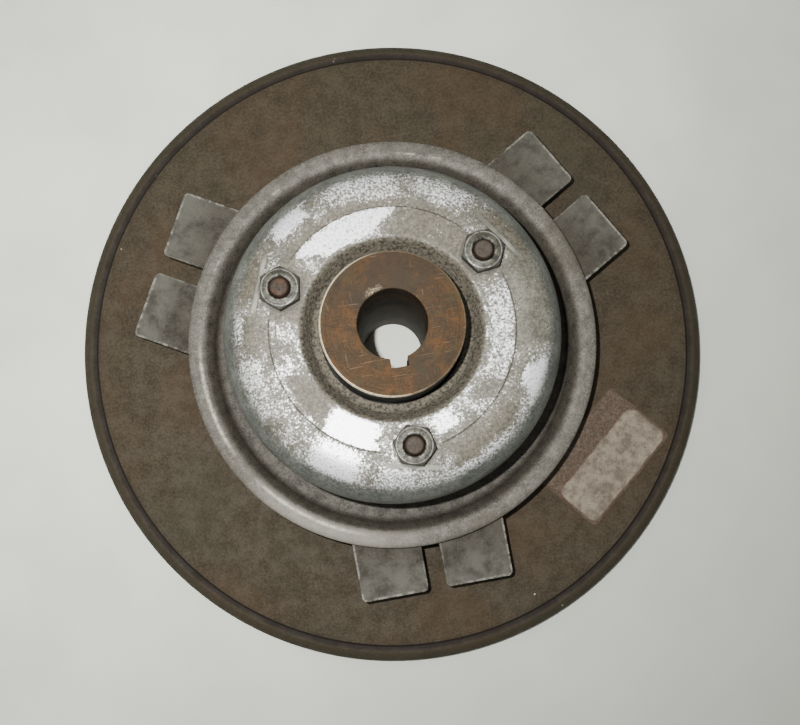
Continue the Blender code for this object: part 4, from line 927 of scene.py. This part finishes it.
def make_end_cap():
    low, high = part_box("end_cap")
    radius, top, bottom = high.x, high.z, low.z
    lower = top - CAP_STEP
    start = radius - CAP_SHOULDER
    centre = (start, lower - CAP_SHOULDER)
    dish = CAP_DISH_RADIUS
    rows = [(CAP_STEP_RADIUS - 0.0010 + 0.00035 * i, lower) for i in range(16)]
    shape = [
        (CAP_HOLE_RADIUS, CAP_DISH_Z, 0.0006),
        (CAP_HOLE_RADIUS + 0.0030, CAP_DISH_Z, 0.0014),
        (dish - 0.0009, top, 0.0018),
        (CAP_STEP_RADIUS - 0.0014, top, 0.0),
        *rows,
        *arc(CAP_SHOULDER, QUARTER, 0, 44, centre),
        (radius, bottom + 0.0120),
        (radius, bottom, 0.0006),
        (radius - CAP_SHEET, bottom, 0.0006),
        *arc(CAP_SHOULDER - CAP_SHEET, 0, QUARTER, 12, centre),
        (dish + 0.0010, lower - CAP_SHEET, 0.0010),
        (CAP_HOLE_RADIUS + 0.0022, CAP_DISH_Z - CAP_SHEET, 0.0010),
        (CAP_HOLE_RADIUS, CAP_DISH_Z - CAP_SHEET, 0.0006),
    ]
    bm = turned(rounded(shape, 5), FINE)
    for vert in bm.verts:
        if vert.co.z > lower - 0.0045 and hypot(vert.co.x, vert.co.y) > CAP_STEP_RADIUS - 0.0012:
            raised = smooth_step(CAP_STEP_RADIUS - hypot(vert.co.x, vert.co.y), -0.00030, 0.00030)
            vert.co.z += (top - lower) * max(raised, pad_height(vert.co.x, vert.co.y))
    cap = new_object("cap", bm)
    holes = bmesh.new()
    add_cylinders(holes, STUD_CIRCLE, FORK_ANGLES, STUD_HOLE_RADIUS, lower - 0.0040, top + 0.001)
    grommet_low, grommet_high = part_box("lead_grommet")
    half_length = grommet_high.x - 0.0009
    half_height = (grommet_high.z - grommet_low.z) / 2 - 0.0009
    middle = (grommet_low.z + grommet_high.z) / 2
    outline = arc(half_height, -QUARTER, QUARTER, 10, (half_length - half_height, 0))
    outline += arc(half_height, QUARTER, 3 * QUARTER, 10, (half_height - half_length, 0))
    slot = extruded(outline, radius - 0.006, radius + 0.002)
    bmesh.ops.rotate(slot, verts=slot.verts, cent=(0, 0, 0), matrix=Matrix.Rotation(-QUARTER, 3, "X"))
    bmesh.ops.translate(slot, verts=slot.verts, vec=(0, 0, middle))
    join(holes, slot)
    carve(cap, holes)

    def crease_shade(place):
        """Painted shade, with some dirt, along the raised middle's step and at the top and the foot of each
        pad's slope.
        """
        if place.z < lower - 0.002:
            return 0.0
        ring = smooth_step(CAP_STEP_RADIUS - hypot(place.x, place.y), -0.00040, 0.00040)
        outside = 1 - pad_height(place.x, place.y)
        lines = []
        for beyond, share in ((-PAD_SLOPE - 0.0003, 1.0), (PAD_SLOPE + 0.0002, 0.6)):
            crease = pad_shape(place.x, place.y, beyond, 0.0005)
            lines += [4 * inside * (1 - inside) * between * share for inside, between in crease]
        return max(*lines, 4 * ring * (1 - ring) * outside * 0.38)

    def slope(place):
        """The slope at each pad's straight edge, where the plate is smooth; it is painted lighter as a
        highlight.
        """
        if place.z < lower - 0.002:
            return 0.0
        edges = pad_shape(place.x, place.y, 0.0, PAD_SLOPE + 0.0003)
        return max(min(1.0, 6 * inside * (1 - inside)) * between for inside, between in edges)

    paint(cap, "step", crease_shade)
    paint(cap, "slope", slope)
    dress(cap, "cap_zinc", "field", "end_cap")


def make_cap_fasteners():
    corner = NUT_ACROSS_FLATS / 2 / cos(pi / 6)
    for i, (angle, turn) in enumerate(zip(FORK_ANGLES, NUT_TURNS), 1):
        low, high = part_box(f"cap_nut_{i}")
        bottom, top = low.z, high.z
        place = polar(STUD_CIRCLE, angle)
        nut = new_object(f"nut_{i}", extruded(arc(corner, 0, tau, 6)[:-1], bottom, top))
        face = NUT_ACROSS_FLATS / 2 * 0.955
        outer = corner * 1.02
        chamfer = (outer - face) * tan(radians(30))
        barrel = [(face, bottom), (outer, bottom + chamfer), (outer, top - chamfer), (face, top)]
        carve(nut, turned([(0, bottom), *barrel, (0, top)], 2 * SMALL), "INTERSECT")
        start, stop = bottom - 0.001, top + 0.0001
        bore = [(0, start), (0.0041, start), (0.0041, top - 0.0004), (0.0046, stop), (0, stop)]
        carve(nut, turned(bore, SMALL))
        nut.location = place
        nut.rotation_euler = (0, 0, angle + turn)
        paint(nut, "seed", lambda _: 0.37 * i)
        dress(nut, "nut_zinc", "field", f"cap_nut_{i}", bevel=0.00018)
        low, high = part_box(f"cap_stud_{i}")
        r = (high.x - low.x) / 2
        thread = []
        pitch = 0.0014
        z = high.z - 0.0012
        while z > 0.0682:
            thread += [(r - 0.00030, z), (r, z - pitch / 2)]
            z -= pitch
        shape = [
            (0, high.z - 0.00010),
            (0.0010, high.z - 0.00006),
            *arc(0.0011, QUARTER, 0, 5, (r - 0.0014, high.z - 0.0011)),
            *thread,
            (r, 0.0660),
            (r, low.z),
            (0, low.z),
        ]
        stud = new_object(f"stud_{i}", turned(shape, SMALL))
        stud.location = place
        paint(stud, "seed", lambda _: 0.37 * i)
        paint(stud, "silver", lambda _: STUD_SILVER[i - 1])
        dress(stud, "stud_rust", "field", f"cap_stud_{i}")


def make_flange_ring():
    low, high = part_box("field_flange_ring")
    radius, bottom, sleeve_top = high.x, low.z, high.z
    top, wall, sheet = RING_TOP, RING_WALL_OUTSIDE, RING_SHEET
    sleeve = ring_size("field_flange_ring")[0]
    shape = [
        (sleeve, sleeve_top, 0.0004),
        (sleeve, bottom, 0.0012),
        (wall - 0.0002, bottom, 0.0024),
        (wall, top - sheet - 0.0004, 0.0012),
        (radius - 0.0014, top - sheet - 0.0003, 0.0006),
        (radius - 0.0008, top - 0.0030, 0.0004),
        (radius, top - 0.0026, 0.0005),
        (radius - 0.0001, top - 0.0001, 0.0026),
        (wall + 0.0012, top, 0.0026),
        (wall - 0.0022, top - 0.0040, 0.0030),
        (wall - 0.0034, bottom + sheet, 0.0028),
        (sleeve + sheet, bottom + sheet, 0.0014),
        (sleeve + sheet, sleeve_top, 0.0004),
    ]
    ring = new_object("flange_ring", turned(rounded(shape, 8), FINE))
    block_low, block_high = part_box("terminal_blade_1")
    half = -block_low.x + 0.0004
    cutter = bmesh.new()
    z_low, z_high = block_low.z - 0.0006, block_high.z + 0.0006
    add_box(cutter, (-half, wall - 0.006, z_low), (half, wall + 0.001, z_high))
    carve(ring, cutter)
    dress(ring, "ring_zinc", "field", "field_flange_ring")


def make_forks():
    low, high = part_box("anti_rotation_fork_1")
    tip = -low.y
    sheet_low, sheet_high = 0.0234, 0.0254
    foot_low, foot_high = low.z, high.z
    inner = RING_WALL_OUTSIDE + 0.0003
    middle = inner + 0.0009
    reach = asin(FORK_HALF_WIDTH / middle)
    half_slot = FORK_SLOT_WIDTH / 2
    corner = FORK_CORNER
    for i, angle in enumerate(FORK_ANGLES, 1):
        outline = [
            *arc(middle, reach, -reach, 24),
            *arc(corner, -QUARTER, 0, 8, (tip - corner, -FORK_HALF_WIDTH + corner)),
            *arc(corner, 0, QUARTER, 8, (tip - corner, -half_slot - corner)),
            *reversed(arc(half_slot, QUARTER, 3 * QUARTER, 14, (FORK_SLOT_ROOT + half_slot, 0))),
            *arc(corner, -QUARTER, 0, 8, (tip - corner, half_slot + corner)),
            *arc(corner, 0, QUARTER, 8, (tip - corner, FORK_HALF_WIDTH - corner)),
        ]
        wavy = []
        for x, y in outline:
            push = noise.noise(Vector((x * 260, y * 260, i * 7.3))) * 0.00022 if x > middle + 0.004 else 0
            wavy.append((x + push, y + push))
        fork = new_object(f"fork_{i}", extruded(wavy, sheet_low, sheet_high))
        # The foot is a little wider than the sheet, so that no corner of one lies on a face of the other
        wide = reach + 0.003
        foot = arc(inner + 0.0018, -wide, wide, 24) + arc(inner, wide, -wide, 24)
        carve(fork, extruded(foot, foot_low, foot_high), "UNION")
        fork.rotation_euler = (0, 0, angle)
        paint(fork, "seed", lambda _: 0.29 * i)
        dress(fork, "fork_zinc", "field", f"anti_rotation_fork_{i}", bevel=0.00035)


def make_disc():
    low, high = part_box("output_disc")
    radius = high.x
    bore = OUTPUT_BEARING_OUTSIDE + 0.0003
    groove = bore + 0.0014
    boss_back, boss_top = 0.0006, 0.0150
    boss, flat, web, top = DISC_BOSS_RADIUS, DISC_FLAT_RADIUS, DISC_WEB_BOTTOM, DISC_TOP
    shape = [
        (bore, boss_back, 0.0006),
        (boss, boss_back, 0.0008),
        (boss + 0.0020, web, 0.0012),
        (radius - 0.0050, web, 0.0008),
        (radius - 0.0040, low.z, 0.0005),
        (radius - 0.0006, low.z, 0.0008),
        (radius, 0.0030, 0.0012),
        *arc(0.0065, radians(4), radians(74), 12, (radius - 0.0065, 0.0030)),
        (flat + 0.0018, top - 0.0010, 0.0006),
        (flat + 0.0010, top - 0.0010, 0.0004),
        (flat + 0.0004, top - 0.0001, 0.0004),
        (flat - 0.0004, top - 0.00022),
        (flat - 0.0008, top),
        *[(flat - 0.0040 - 0.008 * i, top) for i in range(8)],
        (boss, top, 0.0008),
        (boss, boss_top, 0.0006),
        (bore + 0.0023, boss_top, 0.0004),
        (bore + 0.0023, high.z, 0.0002),
        (bore - 0.0020, high.z, 0.0002),
        (bore - 0.0020, 0.0155, 0.0002),
        (bore, 0.0155),
        (bore, 0.00305),
        (groove, 0.00305),
        (groove, 0.0012),
        (bore, 0.0012),
    ]
    disc = new_object("disc", turned(rounded(shape), FINE))
    cutter = bmesh.new()
    add_cylinders(cutter, TAPPED_CIRCLE, TAPPED_ANGLES, TAPPED_HOLE_RADIUS, boss_back - 0.001, 0.0100, 32)
    add_cylinders(cutter, SPRING_CIRCLE, SCREW_ANGLES, SCREW_HOLE_RADIUS, 0.0082, boss_top + 0.001, 32)
    add_cylinders(cutter, SPRING_CIRCLE, RIVET_ANGLES, 0.0044, 0.0127, boss_top + 0.001, 32)
    carve(disc, cutter)
    dress(disc, "disc_iron", "output", "output_disc")


def make_label():
    """The label's own X runs along its length, and its pale panel is on the -Y side."""
    low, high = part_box("rating_label")
    half_x, half_y, corner = LABEL_SIZE[0] / 2, LABEL_SIZE[1] / 2, 0.0030
    outline = []
    for turn, sx, sy in ((0, 1, 1), (1, -1, 1), (2, -1, -1), (3, 1, -1)):
        middle = (sx * (half_x - corner), sy * (half_y - corner))
        outline += arc(corner, turn * QUARTER, (turn + 1) * QUARTER, 8, middle)
    torn = []
    for a, b in zip(outline, outline[1:] + outline[:1]):
        count = max(1, int(dist(a, b) / 0.0008))
        for k in range(count):
            t = k / count
            x, y = a[0] + (b[0] - a[0]) * t, a[1] + (b[1] - a[1]) * t
            cut = (noise.noise(Vector((x * 420, y * 420, 3.1))) - 0.35) * 0.00035
            torn.append((x * (1 + cut / half_x), y * (1 + cut / half_y)))
    label = new_object("label", extruded(torn, low.z, high.z))
    label.location = polar(*LABEL_PLACE)
    label.rotation_euler = (0, 0, LABEL_TURN)
    dress(label, "label_paper", "output", "rating_label", bevel=0.00008)


def make_leaf_springs():
    """Each strap is fixed to the disc at one end and to the armature at the other; here it is flat, with a
    hole at each end, cut across into short lengths.
    """
    half = SPRING_CIRCLE * sin(SPRING_SPAN / 2)
    width = 0.0046
    for i, angle in enumerate(SCREW_ANGLES, 1):
        node = f"leaf_spring_{i}"
        low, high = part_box(node)
        outline = arc(width, -QUARTER, QUARTER, 12, (half, 0))
        outline += arc(width, QUARTER, 3 * QUARTER, 12, (-half, 0))
        strap = new_object(f"strap_{i}", extruded(outline, low.z, high.z))
        holes = bmesh.new()
        add_cylinders(holes, half, (pi, 0), SCREW_HOLE_RADIUS, low.z - 0.001, high.z + 0.001, 32)
        carve(strap, holes)
        cuts = bmesh.new()
        cuts.from_mesh(strap.data)
        for k in range(1, 12):
            x = half * (k / 6 - 1) * 0.8
            whole = cuts.verts[:] + cuts.edges[:] + cuts.faces[:]
            bmesh.ops.bisect_plane(cuts, geom=whole, plane_co=(x, 0, 0), plane_no=(1, 0, 0))
        cuts.to_mesh(strap.data)
        cuts.free()
        middle = angle + SPRING_SPAN / 2
        place = polar(SPRING_CIRCLE * cos(SPRING_SPAN / 2), middle)
        strap.matrix_world = Matrix.Translation(place) @ Matrix.Rotation(middle + QUARTER, 4, "Z")
        strap.data.materials.clear()
        strap.data.materials.append(FINISHES["spring_steel"])
        bpy.context.view_layer.update()
        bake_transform(strap)
        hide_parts(node)


def outline_of(node):
    """The (radius, z) outline that a node was turned from, read along its seam on the +X side."""
    mesh = NODES[node].data
    on_seam = [v for v in mesh.vertices if v.co.x > 0 and abs(v.co.y) < 1e-6]
    # The node's triangles share no points, so points in one place are taken as one
    seam = {v.index: (round(v.co.x, 6), round(v.co.z, 6)) for v in on_seam}
    links = {place: set() for place in seam.values()}
    for edge in mesh.edges:
        a, b = (seam.get(index) for index in edge.vertices)
        if a and b and a != b:
            links[a].add(b)
            links[b].add(a)
    walk = [max(links, key=lambda place: (place[1], place[0]))]
    while True:
        onward = sorted(links[walk[-1]] - set(walk))
        if not onward:
            return walk
        walk.append(onward[0])


def smooth_turned(node, finish, body, softness, cutter=None):
    """A finer version of a node that goes round the shaft, with its edges eased."""
    outline = [(radius, z, softness) for radius, z in outline_of(node)]
    piece = new_object(f"{node}_smooth", turned(rounded(outline), MEDIUM))
    if cutter:
        carve(piece, cutter)
    dress(piece, finish, body, node)


def make_smooth_rounds():
    for node, finish, body, softness in (
        ("output_bearing_inner_race", "bearing_steel", "hub", 0.00025),
        ("output_bearing_outer_race", "bearing_steel", "output", 0.00025),
        ("output_bearing_seal", "seal_rubber", "output", 0.00020),
        ("field_bearing_inner_race", "bearing_steel", "hub", 0.00025),
        ("field_bearing_outer_race", "bearing_steel", "field", 0.00025),
        ("bearing_spacer", "rotor_steel", "hub", 0.00030),
        ("rotor_friction_lining", "friction_lining", "hub", 0.00015),
        ("coil_former", "former_nylon", "field", 0.00020),
        ("coil_winding", "coil_copper", "field", 0.00030),
    ):
        smooth_turned(node, finish, body, softness)

    low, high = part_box("armature_plate")
    holes = bmesh.new()
    start, step, stop = low.z - 0.001, 0.0202, high.z + 0.001
    small, large = SCREW_HOLE_RADIUS, 0.0039
    hole = [(0, start), (small, start), (small, step), (large, step), (large, stop), (0, stop)]
    add_cylinders(holes, SPRING_CIRCLE, SCREW_ANGLES, 0.0048, start, stop, 48)
    for angle in RIVET_ANGLES:
        join(holes, turned(hole, 48, polar(SPRING_CIRCLE, angle)))
    smooth_turned("armature_plate", "armature_steel", "armature", 0.00035, holes)

    low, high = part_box("field_shell")
    holes = bmesh.new()
    add_cylinders(holes, STUD_CIRCLE, FORK_ANGLES, STUD_HOLE_RADIUS, 0.0520, high.z + 0.001, 48)
    lead_low, lead_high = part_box("lead_grommet")
    middle = (lead_low.z + lead_high.z) / 2
    add_box(holes, (-0.0070, 0.0565, middle - 0.0018), (0.0070, 0.0635, middle + 0.0018))
    smooth_turned("field_shell", "field_iron", "field", 0.00040, holes)

    low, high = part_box("rotor_disc")
    holes = bmesh.new()
    reach = radians(22)
    for i in range(6):
        middle = tau * (i + 0.5) / 6
        slot = arc(0.0530, middle - reach, middle + reach, 24)
        slot += arc(0.0500, middle + reach, middle - reach, 24)
        extruded(slot, low.z + 0.0013, high.z + 0.001, holes)
    start, sink, stop = low.z - 0.001, low.z + 0.0018, high.z + 0.001
    hole = [(0, start), (0.0051, start), (small, sink), (small, stop), (0, stop)]
    for angle in FORK_ANGLES:
        join(holes, turned(hole, 48, polar(ROTOR_SCREW_CIRCLE, angle)))
    smooth_turned("rotor_disc", "rotor_steel", "hub", 0.00035, holes)


def make_clips():
    """The snap rings and circlips: flat spring rings that are open at one side."""
    gap = radians(13)
    for node, body in (
        ("output_bearing_snap_ring", "hub"),
        ("output_bearing_circlip", "output"),
        ("field_bearing_snap_ring", "hub"),
        ("field_bearing_circlip", "field"),
    ):
        inner, outer, low, high = ring_size(node)
        outline = arc(outer, gap, tau - gap, 120) + arc(inner, tau - gap, gap, 120)
        clip = new_object(f"{node}_smooth", extruded(outline, low, high))
        dress(clip, "spring_steel", body, node, bevel=0.00012)


def soften_small_nodes():
    """Eased edges on the small CAD nodes that show as they are. Those without a width are subdivided."""
    widths = {"terminal_block": 0.00045, "terminal_blade_1": 0.00012, "terminal_blade_2": 0.00012}
    for kind in ("spring_screw", "armature_rivet", "rotor_screw"):
        widths.update({f"{kind}_{i}": 0.00020 for i in (1, 2, 3)})
    widths.update({"lead_grommet": None, "coil_lead_1": None, "coil_lead_2": None})
    for name, width in widths.items():
        # The node's triangles share no points, so they are joined before another modifier rounds them
        NODES[name].modifiers.new("Weld", "WELD").merge_threshold = 1e-6
        if width:
            ease_edges(NODES[name], width, 2)
        else:
            finer = NODES[name].modifiers.new("Smooth", "SUBSURF")
            finer.levels = finer.render_levels = 1


def finish_plain_nodes():
    """The CAD nodes whose shape is right keep it and take a finish."""
    slots = {row["node"]: row["material_slot"] for row in frame["record"]["subparts"]}
    for name, obj in NODES.items():
        obj.data.materials.clear()
        obj.data.materials.append(FINISHES[slots[name]])


# ---------------------------------------------------------------- camera, floor and light


def aim(obj, place, target, roll=0.0):
    """Points an object's -Z at target, with +Y up in its view before the roll."""
    place, target = Vector(place), Vector(target)
    back = (place - target).normalized()
    right = Vector((0, 1, 0)).cross(back).normalized()
    up = back.cross(right)
    basis = Matrix((right, up, back)).transposed().to_4x4()
    obj.matrix_world = Matrix.Translation(place) @ basis @ Matrix.Rotation(roll, 4, "Z")


def make_camera():
    data = bpy.data.cameras.new("camera")
    data.lens = CAMERA_LENS
    data.shift_y = CAMERA_SHIFT
    data.clip_start = 0.01
    camera = put_in_scene(data)
    aim(camera, CAMERA_PLACE, CAMERA_TARGET, CAMERA_ROLL)
    bpy.context.scene.camera = camera


def make_light(name, place, target, size, power):
    data = bpy.data.lights.new(name, "AREA")
    data.shape = "DISK"
    data.size = size
    data.energy = power
    aim(put_in_scene(data), place, target)


def make_floor():
    bm = bmesh.new()
    bmesh.ops.create_grid(bm, x_segments=1, y_segments=1, size=20.0)
    floor = new_object("floor", bm)
    floor.location.z = CAD_BOX[0].z - FLOOR_GAP
    f = Finish("floor", roughness=0.6)
    f.colour = f.tones(f.noise(0.06, 3), 0.3, 0.7, (206, 207, 202), (210, 211, 206))
    # Painted shade: the floor darkens along this direction, for light falling off across it.
    away = f.vector("DOT_PRODUCT", f.place, (0.55, -0.83, 0))
    f.coat(f.ramp(away, -0.16, 0.24, 0.0, 0.70), 178, 178, 173)
    floor.data.materials.append(f.done())


def make_world():
    world = bpy.data.worlds.new("studio")
    bpy.context.scene.world = world
    world.use_nodes = True
    tree = world.node_tree
    background = tree.nodes["Background"]
    direction = add_node(tree, "ShaderNodeTexCoord").outputs["Generated"]
    split = add_node(tree, "ShaderNodeSeparateXYZ", {0: direction})
    steepness = add_node(tree, "ShaderNodeMath", {0: split.outputs[2]}, operation="ABSOLUTE").outputs[0]
    strength = add_node(tree, "ShaderNodeMapRange", {"Value": steepness, "To Min": 0.14, "To Max": 0.42})
    put(background.inputs["Strength"], strength.outputs[0])
    put(background.inputs["Color"], (0.95, 0.98, 1.0))


make_camera()
FINISHES = make_finishes()
finish_plain_nodes()
make_hub()
make_end_cap()
make_cap_fasteners()
make_flange_ring()
make_forks()
make_disc()
make_label()
make_leaf_springs()
make_smooth_rounds()
make_clips()
soften_small_nodes()
make_floor()
make_world()
make_light("key", (-0.040, -0.023, 0.420), (-0.14, 0.11, 0), 0.010, 3.2)
make_light("fill", (-0.9, 0.8, 1.3), (0, 0, 0), 1.2, 5)
